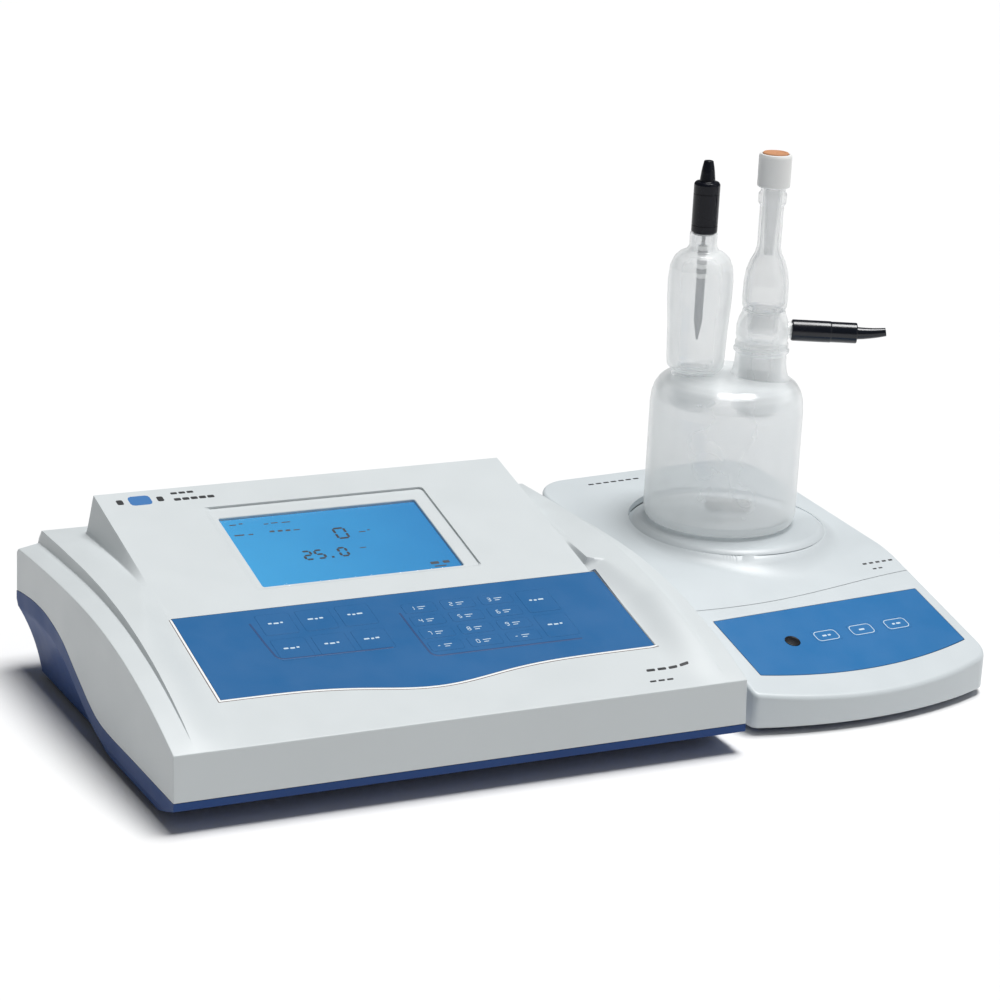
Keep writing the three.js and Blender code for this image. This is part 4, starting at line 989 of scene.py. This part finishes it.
def make_rocker():
    """See-saw switch cap with a bar and a ring for on and off."""
    half, y0, y1 = ROCKER_HEIGHT / 2 - 1.2, REAR_Y - 7, REAR_Y + 2.2
    outline = [(y0, REAR_HEIGHT - half + 1.5, 0.6), (y1 - 1.6, REAR_HEIGHT - half, 0.5),
               (y1 + 1.4, REAR_HEIGHT - half + 0.6, 0.7), (y1 - 0.8, REAR_HEIGHT, 9),
               (y1 + 0.2, REAR_HEIGHT + half - 0.4, 0.6), (y1 - 1.6, REAR_HEIGHT + half, 0.5),
               (y0, REAR_HEIGHT + half - 1.5, 0.6)]
    line = fillet(outline, 0.6, 5)
    reach = ROCKER_WIDTH / 2 - 1.2
    rings = [[(ROCKER_X + x, y, z) for y, z in inset(line, d)]
             for x, d in ((-reach, 0.35), (-reach + 0.12, 0.1), (-reach + 0.4, 0), (reach - 0.4, 0),
                          (reach - 0.12, 0.1), (reach, 0.35))]
    cap = paint(skin("rocker_cap", rings), BLACK)
    lean = at(ROCKER_X, REAR_Y + 2.48, REAR_HEIGHT) @ turned("X", -math.pi / 2)
    low = lean @ at(0, half / 2, 0) @ turned("X", math.radians(-26))
    high = lean @ at(0, -half / 2, -0.55) @ turned("X", math.radians(11))
    ring = ribbon("off", circle(1.1, 24), 0.4, 0.1, low, closed=True, base=-0.05)
    bar = ribbon("on", [(0, -1.2), (0, 1.2)], 0.45, 0.1, high, base=-0.05)
    join(cap, [paint(ring, INK_WHITE), paint(bar, INK_WHITE)])
    settle(cap, "rocker", ["power_rocker"])


def make_socket(name, x):
    r = SOCKET_RADIUS
    place = REAR_FACE @ at(x, 0, 0)
    shell = lathe(name, [(4, -14), (r, -14), (r, GAP), (r + 2.3, GAP), (r + 2.6, GAP + 0.3), (r + 2.6, 1.9),
                         (r + 2.1, 2.4), (r, 2.4), (r - 0.4, 2.8), (r - 0.4, 4), (r - 0.9, 4.3),
                         (r - 0.9, 4.7), (r - 0.4, 5), (r - 0.4, 9.5), (r - 0.9, 10), (4.3, 10), (4, 9.7)],
                  place)
    core = lathe("core", [(0, -14), (4.6, -14), (4.6, 1), (1.5, 1), (1.5, -4), (1.1, -4), (1.1, 7.4),
                          (0.7, 8), (0, 8)], place)
    paint(shell, NICKEL)
    join(shell, [paint(core, PTFE)])
    settle(shell, "console", [name + "_socket"])


def make_foot(name, body, left, right, y, high, place=BENCH):
    """Rubber strip with a rounded rim and three fine grooves along its foot."""
    strip = stack(name + "_strip", rounded_rectangle(left, right, y - 6, y + 6, 4),
                  soft_levels(0, high, 0.8, 0), place)
    grooves = []
    for offset in (-2.6, 0, 2.6):
        groove = rounded_rectangle(left + 5, right - 5, y + offset - 0.5, y + offset + 0.5, 0.3, 2)
        grooves.append(stack("groove", groove, [(0, -1), (0, 0.6)], place))
    combine(strip, grooves)
    settle(paint(strip, RUBBER), body, [name])


def make_console():
    make_cover()
    make_base()
    make_console_film()
    make_film_border()
    make_brackets()
    make_display()
    make_generic_marks()
    make_inlet()
    make_rocker()
    make_socket("measuring", SOCKET_XS["measuring_socket"])
    make_socket("generator", SOCKET_XS["generator_socket"])
    make_foot("console_foot_front", "console", -128, 128, -74, BASE_BOTTOM - GAP)
    make_foot("console_foot_rear", "console", -128, 128, 84, BASE_BOTTOM - GAP)


# ---------------------------------------------------------------- stirrer unit

def bezier(p0, p1, p2, t):
    return tuple((1 - t) ** 2 * a + 2 * (1 - t) * t * b + t * t * c for a, b, c in zip(p0, p1, p2))


def stirrer_plan(sunk):
    """Outline of the unit from above, with points close enough to follow its curved top."""
    left, right, rear = PLAN_LEFT + sunk, PLAN_RIGHT - sunk, PLAN_REAR - sunk
    front = PLAN_LEFT_FRONT + sunk
    corner, middle = PLAN_CORNER + sunk, PLAN_MIDDLE + sunk
    bow = [bezier((front, corner), ((front + right) / 2, 2 * middle - corner), (right, corner), t)
           for t in spread(0, 1, 60)]
    left_round, right_round, rear_round = (max(r - sunk, 0.5) for r in PLAN_ROUNDS)
    points = [(*bow[0], left_round), *[(*p, 0) for p in bow[5:-9]], (*bow[-1], right_round),
              (right, rear, rear_round), (left, rear, rear_round)]
    line = []
    corners = fillet(points, 0, 10)
    for a, b in zip(corners, corners[1:] + corners[:1]):
        steps = max(1, round((Vector(b) - Vector(a)).length / PLAN_SPACING))
        line += [(a[0] + (b[0] - a[0]) * i / steps, a[1] + (b[1] - a[1]) * i / steps) for i in range(steps)]
    return line


def stirrer_height(u, v, mound):
    """Deck and front slope with a rounded bend between them, and the mound under the platform."""
    deck, slope = DECK_SLOPE * (v - BREAK_V), FRONT_SLOPE * (v - BREAK_V)
    near = clamp((v - BREAK_V + BREAK_ROUND) / (2 * BREAK_ROUND))
    if near <= 0:
        height = BREAK_Z + slope
    elif near >= 1:
        height = BREAK_Z + deck
    else:
        start = (BREAK_V - BREAK_ROUND, BREAK_Z - FRONT_SLOPE * BREAK_ROUND)
        end = (BREAK_V + BREAK_ROUND, BREAK_Z + DECK_SLOPE * BREAK_ROUND)
        height = bezier(start, (BREAK_V, BREAK_Z), end, near)[1]
    if not mound:
        return height
    away = math.hypot(u - PLATFORM_U, v - PLATFORM_V) - PLATFORM_RADIUS - GAP
    skirt = PLATFORM_TOP - PLATFORM_THICK - GAP - MOUND_FALL * max(away, 0)
    gap = clamp(0.5 + (skirt - height) / (2 * MOUND_SOFT))
    return height + (skirt - height) * gap + MOUND_SOFT * gap * (1 - gap)


def stirrer_body(name, sunk=0, lowered=0, edge=0, mound=True, low=STIRRER_BOTTOM, rows=64):
    """Closed body under the unit's top: walls, a rounded edge and rings that close in on the platform."""
    def ring(outline, drop):
        return [(x, y, stirrer_height(x, y, mound) - lowered - drop) for x, y in outline]
    plan = stirrer_plan(sunk)
    rings = [[(*p, low) for p in plan], ring(plan, edge)]
    rim = plan
    for a in spread(0, math.pi / 2, 8)[1:] if edge else ():
        rim = inset(plan, edge * (1 - math.cos(a)))
        rings.append(ring(rim, edge * (1 - math.sin(a))))
    centre = Vector((PLATFORM_U, PLATFORM_V))
    for s in spread(0, 1, rows)[1:]:
        line = []
        for point in rim:
            here = Vector(point)
            target = centre + (here - centre).normalized() * TOP_CLOSES_AT
            line.append(tuple(here.lerp(target, s)))
        rings.append(ring(line, 0))
    return skin(name, rings, STIRRER)


def parting_prism(name, shift):
    """Everything in front of the wavy line where deck and front cover meet."""
    points = []
    for u in spread(-90, 90, 60):
        wave = PARTING_WAVE * math.sin((u - PARTING_PHASE) / PARTING_LENGTH * math.tau)
        points.append((u, PARTING_MIDDLE + wave + shift))
    return stack(name, [*points, (90, -FAR), (-90, -FAR)], [(0, -50), (0, 120)], STIRRER)


def stirrer_panel_outline(grow=0):
    corner = 0.6
    left, right, top, foot, bulge = (STIRRER_PANEL[k] for k in ("left", "right", "top", "foot", "bulge"))
    start, end = (left - grow, foot - grow), (right + grow, foot - grow)
    control = ((left + right) / 2, foot - 2 * bulge - grow)
    bow = [bezier(start, control, end, t) for t in spread(0, 1, 40)]
    points = [(*bow[0], corner), *[(*p, 0) for p in bow[1:-1]], (*bow[-1], corner),
              (right + grow, top + grow, corner), (left - grow, top + grow, corner)]
    return fillet(points, corner)


def make_stirrer_shell():
    shell = stirrer_body("stirrer_shell", edge=STIRRER_EDGE)
    seat = STIRRER @ at(PLATFORM_U, PLATFORM_V, 0)
    cuts = [stirrer_body("hollow", sunk=WALL, lowered=WALL + 0.6, mound=False, low=-5, rows=24),
            stack("well", circle(SPIGOT + GAP, 96), [(0, 30), (0, 80)], seat),
            stack("seat", circle(PLATFORM_RADIUS + GAP, 128),
                  [(0, PLATFORM_TOP - PLATFORM_THICK - GAP), (0, 80)], seat),
            stack("pocket", stirrer_panel_outline(GAP), flared_levels(-POCKET, 0, 0.25), FRONT_PLANE),
            stack("keys", rounded_rectangle(-24, 46, -69, -51, 3), [(0, -20), (0, -0.8)], FRONT_PLANE),
            stack("lens", circle(INDICATOR_RADIUS - 1 + GAP, 32, INDICATOR_U, INDICATOR_T),
                  [(0, -20), (0, -0.8)], FRONT_PLANE)]
    combine(shell, cuts)
    deck = copy_of(shell, "stirrer_deck_skin")
    combine(deck, [parting_prism("behind", 0.06)])
    settle(paint(deck, CASE_STIRRER), "stirrer_unit", ["stirrer_deck"], angle=40)
    combine(shell, [parting_prism("ahead", -GAP)], "INTERSECT")
    shell.name = "stirrer_front_skin"
    settle(paint(shell, CASE_STIRRER), "stirrer_unit", ["stirrer_front_cover"], angle=40)


def stirrer_keys():
    columns, y, width, height = STIRRER_KEYS
    return [(x, y, width, height) for x in columns]


def make_stirrer_film():
    hole = stack("opening", circle(INDICATOR_RADIUS + 0.15, 48, INDICATOR_U, INDICATOR_T), [(0, -5), (0, 5)],
                 FRONT_PLANE)
    make_film("stirrer_film", stirrer_panel_outline(), stirrer_keys(), OVERLAY_STIRRER,
              "stirrer_unit", "stirrer_overlay", FRONT_PLANE, [hole])
    for i, key in enumerate(stirrer_keys()):
        x, y, width, height = key
        outline = rounded_rectangle(x - width / 2 + 0.9, x + width / 2 - 0.9, y - height / 2 + 0.9,
                                    y + height / 2 - 0.9, 2.2, 6)
        marks = [paint(ribbon("outline", outline, 0.45, 0.06, FRONT_PLANE, closed=True, base=0.05),
                       INK_WHITE)]
        lengths = [(2.6, 1.8), (3.4,), (1.8, 2.6)][i]
        start = x - (sum(lengths) + 0.8 * (len(lengths) - 1)) / 2
        for length in lengths:
            marks.append(mark_bar(start + length / 2, y, length, 1.2, FRONT_PLANE, INK_WHITE, 0.05))
            start += length + 0.8
        node = f"stirrer_key_{i + 1}"
        make_key(node + "_cap", key, "body_" + node, FRONT_PLANE, OVERLAY_STIRRER,
                 0.06, marks)


def make_indicator():
    place = FRONT_PLANE @ at(INDICATOR_U, INDICATOR_T, 0)
    r = INDICATOR_RADIUS
    lens = lathe("indicator", [(0, -7), (r - 1, -7), (r - 1, -FILM), (r, -FILM), (r, 0.15), (r - 0.1, 0.3),
                               (r - 0.4, 0.4), (r - 0.9, 0.36), (r - 1.1, 0.2), (r * 0.4, 0.34), (0, 0.38)],
                 place)
    settle(paint(lens, LENS), "stirrer_unit", ["indicator_lens"])


def make_platform():
    place = STIRRER @ at(PLATFORM_U, PLATFORM_V, 0)
    under, r = PLATFORM_TOP - PLATFORM_THICK - GAP + 0.03, PLATFORM_RADIUS
    rim = [bezier((r, under), (r - 2.25, PLATFORM_TOP), (r - 5, PLATFORM_TOP), t) for t in spread(0, 1, 14)]
    disc = lathe("platform_disc", [(0, under - 3), (SPIGOT - 0.5, under - 3), (SPIGOT, under - 2.5),
                                   (SPIGOT, under), *rim[:-1], (0, PLATFORM_TOP)], place, 160)
    settle(paint(disc, CASE_STIRRER), "stirrer_unit", ["cell_platform"])


def make_stirrer_marks():
    """Plain dashes behind the platform and beside it."""
    deck = STIRRER @ at(0, BREAK_V, BREAK_Z) @ turned("X", math.atan(DECK_SLOPE))
    marks = [mark_bar(x, 123.3, 3.4, 1.4, deck, INK_BLACK) for x in spread(-39, -10, 6)]
    marks += [mark_bar(x, RIGHT_MARKS_T, 2.6, 1.3, FRONT_PLANE, INK_BLACK)
              for x in (47.5, 51.7, 55.9, 60.1, 64.3)]
    marks += [mark_bar(x, RIGHT_MARKS_T - 5, 2.4, 1, FRONT_PLANE, INK_BLACK) for x in (50.6, 54.4)]
    marks[0].name = "stirrer_marks"
    settle(join(marks[0], marks[1:]), "stirrer_unit")


def make_stirrer_inside():
    plan = stirrer_plan(WALL + GAP)
    base = stack("stirrer_floor", plan, soft_levels(3.2, 6.2, 0.6, 0), STIRRER)
    seat = stack("post", circle(21, 48, PLATFORM_U, PLATFORM_V), [(0, 6), (0, 9.7)], STIRRER)
    combine(base, [seat, *posts(STIRRER_POSTS, 3.5, 6, 11.7, STIRRER)], "UNION")
    settle(paint(base, BASE_BLUE), "stirrer_unit", ["stirrer_base"])
    make_foot("stirrer_foot_front", "stirrer_unit", -56, 54, -88, 2.9, STIRRER)
    make_foot("stirrer_foot_rear", "stirrer_unit", -46, 44, 104, 2.9, STIRRER)
    place = STIRRER @ at(PLATFORM_U, PLATFORM_V, 0)
    motor = lathe("motor", [(0, 10), (17.2, 10), (18, 10.8), (18, 13), (17.6, 13.3), (17.6, 28.7), (18, 29),
                            (18, 31.2), (17.2, 32), (5, 32), (5, 34.2), (4.7, 34.5), (1.5, 34.5), (1.5, 39.6),
                            (1.2, 40), (0, 40)], place)
    settle(paint(motor, MOTOR), "stirrer_unit", ["stirrer_motor"])


def make_stirrer():
    make_stirrer_shell()
    make_platform()
    make_stirrer_film()
    make_indicator()
    make_stirrer_marks()
    make_stirrer_inside()


# ---------------------------------------------------------------- glass cell

def smooth_profile(points, radius=2.5, closed=True):
    """Profile of [radius, height] with its corners rounded; (r, z, 0) stays sharp."""
    return fillet(points, radius, 6, closed)


def make_vessel():
    r, inner = VESSEL_RADIUS, VESSEL_INNER
    outer = smooth_profile([(0, 0), (r - 5.4, 0, 0), (r - 1.4, 1.2, 3), (r, 6, 3), (r, 62, 6),
                            (r - 0.5, 67.5, 9), (r - 1.8, 72, 8), (r - 4.2, 75.6, 6), (r - 8, 78, 8),
                            (r - 14, 79.4, 14), (r - 23, 80.1, 20), (0, 80.3)], 3, closed=False)
    hollow = smooth_profile([(0, 4), (inner - 5, 4, 0), (inner - 1, 5.2, 3), (inner, 9, 3), (inner, 61.5, 6),
                             (inner - 0.5, 66.8, 8), (inner - 1.8, 70.9, 7), (inner - 4, 73.9, 6),
                             (inner - 7.4, 75.9, 8), (inner - 13, 77.2, 12), (inner - 21, 77.8, 18), (0, 78)],
                            3, closed=False)
    vessel = lathe("vessel", outer, CELL, 128)
    cavity = lathe("cavity", hollow, CELL, 128)
    left = lathe("neck", [(0, 63), (12.4, 63), (12.4, 80), (12.2, 80.5), (11.7, 80.6), (0, 80.6)], ADAPTER,
                 64)
    right = lathe("neck", [(0, 62), (13.3, 62), (13.3, 70), (16.6, 77), (15.3, 79.4), (14.3, 82), (13.6, 86),
                           (13.3, 91.6), (13.9, 92.4), (14.6, 93), (14.6, 94), (14.1, 94.6),
                           (0, 94.6)], GENERATOR, 64)
    combine(vessel, [cavity])
    combine(vessel, [left, right], "UNION")
    bores = [stack("bore", circle(LEFT_BORE, 64), [(0, 41), (0, 99)], ADAPTER @ turned("Z", BORE_TURN)),
             stack("bore", circle(RIGHT_BORE, 64), [(0, 41), (0, 99)], GENERATOR @ turned("Z", BORE_TURN))]
    combine(vessel, bores)
    settle(paint(vessel, GLASS_MILKY), "cell", ["cell_vessel"])


def make_adapter():
    profile = smooth_profile([(9.7, 60, 0.2), (10.1, 80.9, 0.4), (12.8, 81.2, 1.6), (14.8, 83.2, 2.2),
                              (15.2, 87, 3), (15.8, 104, 20), (16.8, 118, 20), (17, 129, 8), (16.4, 136, 5),
                              (14.6, 140.6, 4), (11.8, 143.4, 4), (8.6, 144.9, 2), (7.2, 147, 2),
                              (7.2, 154, 0.5), (5.9, 154, 0.3), (5.9, 146.4, 2), (7.6, 143.6, 2),
                              (10.8, 141.9, 3), (13.3, 139.4, 3), (14.9, 135.2, 4), (15.5, 129, 7),
                              (15.3, 118, 18), (14.3, 104, 18), (13.7, 87.4, 2.4), (13, 84.4, 1.6),
                              (11.4, 82.8, 1.4), (8.6, 82.2, 0.4), (8.2, 60, 0.2)])
    bulb = lathe("bulb", profile, ADAPTER)
    settle(paint(bulb, GLASS), "adapter", ["bulb_adapter"])


def make_electrode():
    """Pointed steel rod under a stack of pale and dark rings, and the black head above them."""
    rod = lathe("rod", [(0, 96.7), (0.5, 97), (1.2, 101), (2, 105.6), (2.3, 107), (2.3, 130), (0, 130)],
                ADAPTER, 48)
    paint(rod, STEEL)
    rings = []
    for i, low in enumerate(spread(130, 147, 7)[:-1]):
        radius, high = 2.65 if i % 2 else 2.4, low + 17 / 7
        band = lathe("ring", [(0, low), (radius - 0.15, low), (radius, low + 0.15), (radius, high - 0.15),
                              (radius - 0.15, high), (0, high)], ADAPTER, 48)
        rings.append(paint(band, STEEL if i % 2 else PTFE))
    rings.append(paint(lathe("lead", [(0, 147), (1, 147), (1, 148.6), (0, 148.6)], ADAPTER, 24), BLACK))
    settle(join(rod, rings), "electrode", ["electrode_rod"])
    grooves = [(radius, z + up, 0.05) for z in (158, 174.5)
               for radius, up in ((6.8, -0.1), (6.5, 0), (6.5, 0.4), (6.8, 0.5))]
    cap = smooth_profile([(0, 148.9, 0), (1, 148.9, 0), (1, 152.6, 0), (5.5, 153, 0.2), (5.5, 154.3, 0.2),
                          (6.8, 154.4, 0.8), *grooves, (6.8, 179.4, 1.2), (6, 180.6, 0.8),
                          (4.1, 180.9, 0.6), (3.5, 186, 2), (3.1, 188.4, 2), (2.4, 191.6, 0.5),
                          (0, 191.6, 0)], 0.3, closed=False)
    head = lathe("head", cap, ADAPTER, 64)
    settle(paint(head, BLACK), "electrode", ["electrode_cap"])


def make_generator():
    tube_profile = smooth_profile([(10.3, 58, 0.2), (10.8, 94.9, 0.4), (14, 95.1, 0.4), (14, 97.4, 0.8),
                                   (13.2, 98.4, 1.2), (13.8, 101.5, 3), (13.7, 106.4, 3), (12.7, 110.4, 3),
                                   (11.4, 113.4, 2), (11.2, 114.6, 0.3), (8.5, 114.6, 0.4), (8.7, 111.4, 3),
                                   (10.9, 108.6, 3), (12.2, 105.6, 3), (12.3, 102, 3), (11.4, 99.2, 2),
                                   (9.2, 96, 2), (8.9, 58, 0.2)])
    body = lathe("tube_body", tube_profile, GENERATOR)
    arm = lathe("arm", [(0, 10.5), (4.4, 10.5), (4.4, 18.6), (4.2, 19), (0, 19)], SIDE_ARM, 48)
    core = lathe("core", smooth_profile([(0, 57), (8.8, 57), (9, 95), (11.2, 99), (12.2, 103), (11.9, 106),
                                         (10, 109), (0, 111)], 1, closed=False), GENERATOR, 64)
    combine(arm, [core])
    combine(body, [arm], "UNION")
    combine(body, [stack("bore", circle(3, 32), [(0, 5), (0, 30)], SIDE_ARM)])
    settle(paint(body, GLASS), "generator", ["generator_tube"])
    frit = stack("frit", circle(8.6, 48), soft_levels(58.6, 62.4, 0.4, 0.4), GENERATOR)
    settle(paint(frit, FRIT), "generator", ["generator_frit"])


def make_drying_tube():
    profile = smooth_profile([(7.6, 103, 0.2), (8.1, 114.8, 0.3), (10.8, 115, 0.6), (11.6, 117.2, 2),
                              (11.9, 121, 4), (11.7, 129, 5), (10.9, 135.6, 6), (9.2, 140.8, 6),
                              (7.1, 144.8, 4), (6.2, 148.6, 3), (6.2, 170, 0.8), (7.2, 171.4, 0.8),
                              (7.4, 176, 1.2), (6.6, 177.4, 0.8), (6.2, 179, 0.8), (6.2, 193.6, 0.2),
                              (4.9, 193.6, 0.2), (4.9, 148.4, 3), (5.8, 144.4, 4), (7.9, 140, 5),
                              (9.5, 135, 5), (10.3, 128.8, 5), (10.5, 121.4, 3), (10.2, 118.4, 1.5),
                              (8.8, 116.8, 1), (6.6, 116.2, 0.4), (6.2, 103, 0.2)])
    tube_piece = lathe("drying", profile, GENERATOR)
    settle(paint(tube_piece, GLASS_CLEAR), "drying", ["drying_tube"])
    taper = lathe("taper", smooth_profile([(2.5, 144, 0.2), (3.9, 176, 3), (4, 192, 0.6), (4.4, 193.3, 0.2),
                                           (3.1, 193.3, 0.2), (3.1, 176, 3), (1.7, 144, 0.2)], 0.2),
                  GENERATOR, 48)
    settle(paint(taper, GLASS_CLEAR), "drying", ["inner_tube"])


def make_screw_cap():
    """Plain round cap with a soft lower rim and a window over the septum."""
    profile = smooth_profile([(6.5, 179.6, 0.2), (8.5, 179.6, 1), (8.55, 195.6, 0.5), (8, 197, 0.6),
                              (7, 197, 0.2), (7, 193.9, 0.1), (6.5, 193.9, 0.1)])
    cap = lathe("round_cap", profile, GENERATOR)
    settle(paint(cap, CAP_WHITE), "cap", ["screw_cap"], angle=50)
    disc = lathe("septum_disc", [(0, 193.9), (6.5, 193.9), (6.7, 194.1), (6.7, 197.2), (6.4, 197.6),
                                 (5.2, 197.6), (4.9, 197.35), (1.2, 197.3), (0.8, 197.0), (0, 196.9)],
                 GENERATOR, 64)
    settle(paint(disc, SEPTUM), "cap", ["septum"])


def make_plug():
    """Cable end on the side arm: a smooth grip and a tapered boot that rises a little."""
    profile = smooth_profile([(0, 19.4, 0), (4.8, 19.4, 0), (4.8, 14.9, 0.2), (5.2, 14.9, 0.2),
                              (5.6, 15.6, 0.5), (5.6, 35, 0.4), (5.4, 35.6, 0.4), (5.4, 48.6, 0.8),
                              (5.1, 49, 0.4), (0, 49.2, 0)], 0.3, closed=False)
    grip = paint(lathe("plug_body", profile, SIDE_ARM, 64), BLACK_GLOSS)
    steps = spread(0, 1, 12)
    path = [(-1.4 * t * t, 0, 48.6 + 15.5 * t) for t in steps]
    boot = tube("boot", path, [3.3 - 1.1 * t for t in steps], SIDE_ARM, 32)
    settle(join(grip, [paint(boot, BLACK_GLOSS)]), "plug", ["generator_plug"])


def make_stir_bar():
    low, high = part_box("stir_bar")
    centre = ROW.inverted() @ ((low + high) / 2)
    place = at(*centre) @ turned("Z", CELL_TURN) @ turned("Y", math.pi / 2)
    half = [(0, 12.5), (1.0, 12.4), (2.0, 11.9), (2.9, 11), (3.3, 9.8), (3.4, 8.6), (3.4, 1.5), (3.5, 1.2),
            (3.5, 0.5)]
    bar = lathe("bar", [(r, -z) for r, z in half] + [(r, z) for r, z in reversed(half)], place, 48)
    settle(paint(bar, PTFE), "stirring_bar", ["stir_bar"])


def make_cell():
    make_vessel()
    make_adapter()
    make_electrode()
    make_generator()
    make_drying_tube()
    make_screw_cap()
    make_plug()
    make_stir_bar()


# ---------------------------------------------------------------- finish, stage and camera

INSIDE = {"main_board": BOARD, "key_board": BOARD, "stirrer_board": BOARD, "transformer": CORE,
          "magnet_carrier": MOTOR}


def paint_inside():
    """Boards, transformer and rotor keep their own shape and take a finish."""
    for node, material in INSIDE.items():
        paint(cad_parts[node], material)


def make_sun(name, strength, angle, direction):
    data = bpy.data.lights.new(name, "SUN")
    data.energy = strength
    data.angle = math.radians(angle)
    sun = bpy.data.objects.new(name, data)
    sun.rotation_euler = Vector(direction).to_track_quat("-Z", "Y").to_euler()
    bpy.context.scene.collection.objects.link(sun)


def make_stage():
    floor = mesh_object("floor", [(-6000, -6000, 0), (6000, -6000, 0), (6000, 6000, 0), (-6000, 6000, 0)],
                        [(0, 1, 2, 3)])
    floor.data.transform(ROW)
    material, _, _, principled, _ = shader("floor_paper", 0.9, (0.85, 0.85, 0.85))
    fill(principled, {"Specular IOR Level": 0.1})
    paint(floor, material)
    make_sun("overhead", 3.5, 30, (-0.2, -0.02, -1))
    make_sun("front_fill", 0.34, 60, (-0.6, 0.8, -0.45))
    world = bpy.data.worlds.new("studio")
    world.use_nodes = True
    fill(world.node_tree.nodes["Background"], {"Color": (0.95, 0.98, 1, 1), "Strength": 0.08})
    bpy.context.scene.world = world
    bpy.context.scene.view_settings.view_transform = "Standard"


def make_camera():
    azimuth, elevation, roll = math.radians(-26.84), math.radians(17.41), math.radians(2.87)
    target, distance = Vector((148.67, 172.67, 42.26)), 1701.77
    back = Vector((math.sin(azimuth) * math.cos(elevation), -math.cos(azimuth) * math.cos(elevation),
                   math.sin(elevation)))
    right = (-back).cross(Vector((0, 0, 1))).normalized()
    up = right.cross(-back)
    level = right * math.cos(roll) + up * math.sin(roll)
    upright = up * math.cos(roll) - right * math.sin(roll)
    data = bpy.data.cameras.new("camera")
    data.lens, data.sensor_width = 110.75, 36
    data.clip_start, data.clip_end = 0.05, 50
    camera = bpy.data.objects.new("camera", data)
    turn = Matrix((level, upright, back)).transposed().to_4x4()
    camera.matrix_world = Matrix.Translation(ROW @ (target + back * distance)) @ turn
    bpy.context.scene.collection.objects.link(camera)
    bpy.context.scene.camera = camera


make_console()
make_stirrer()
make_cell()
paint_inside()
make_stage()
make_camera()
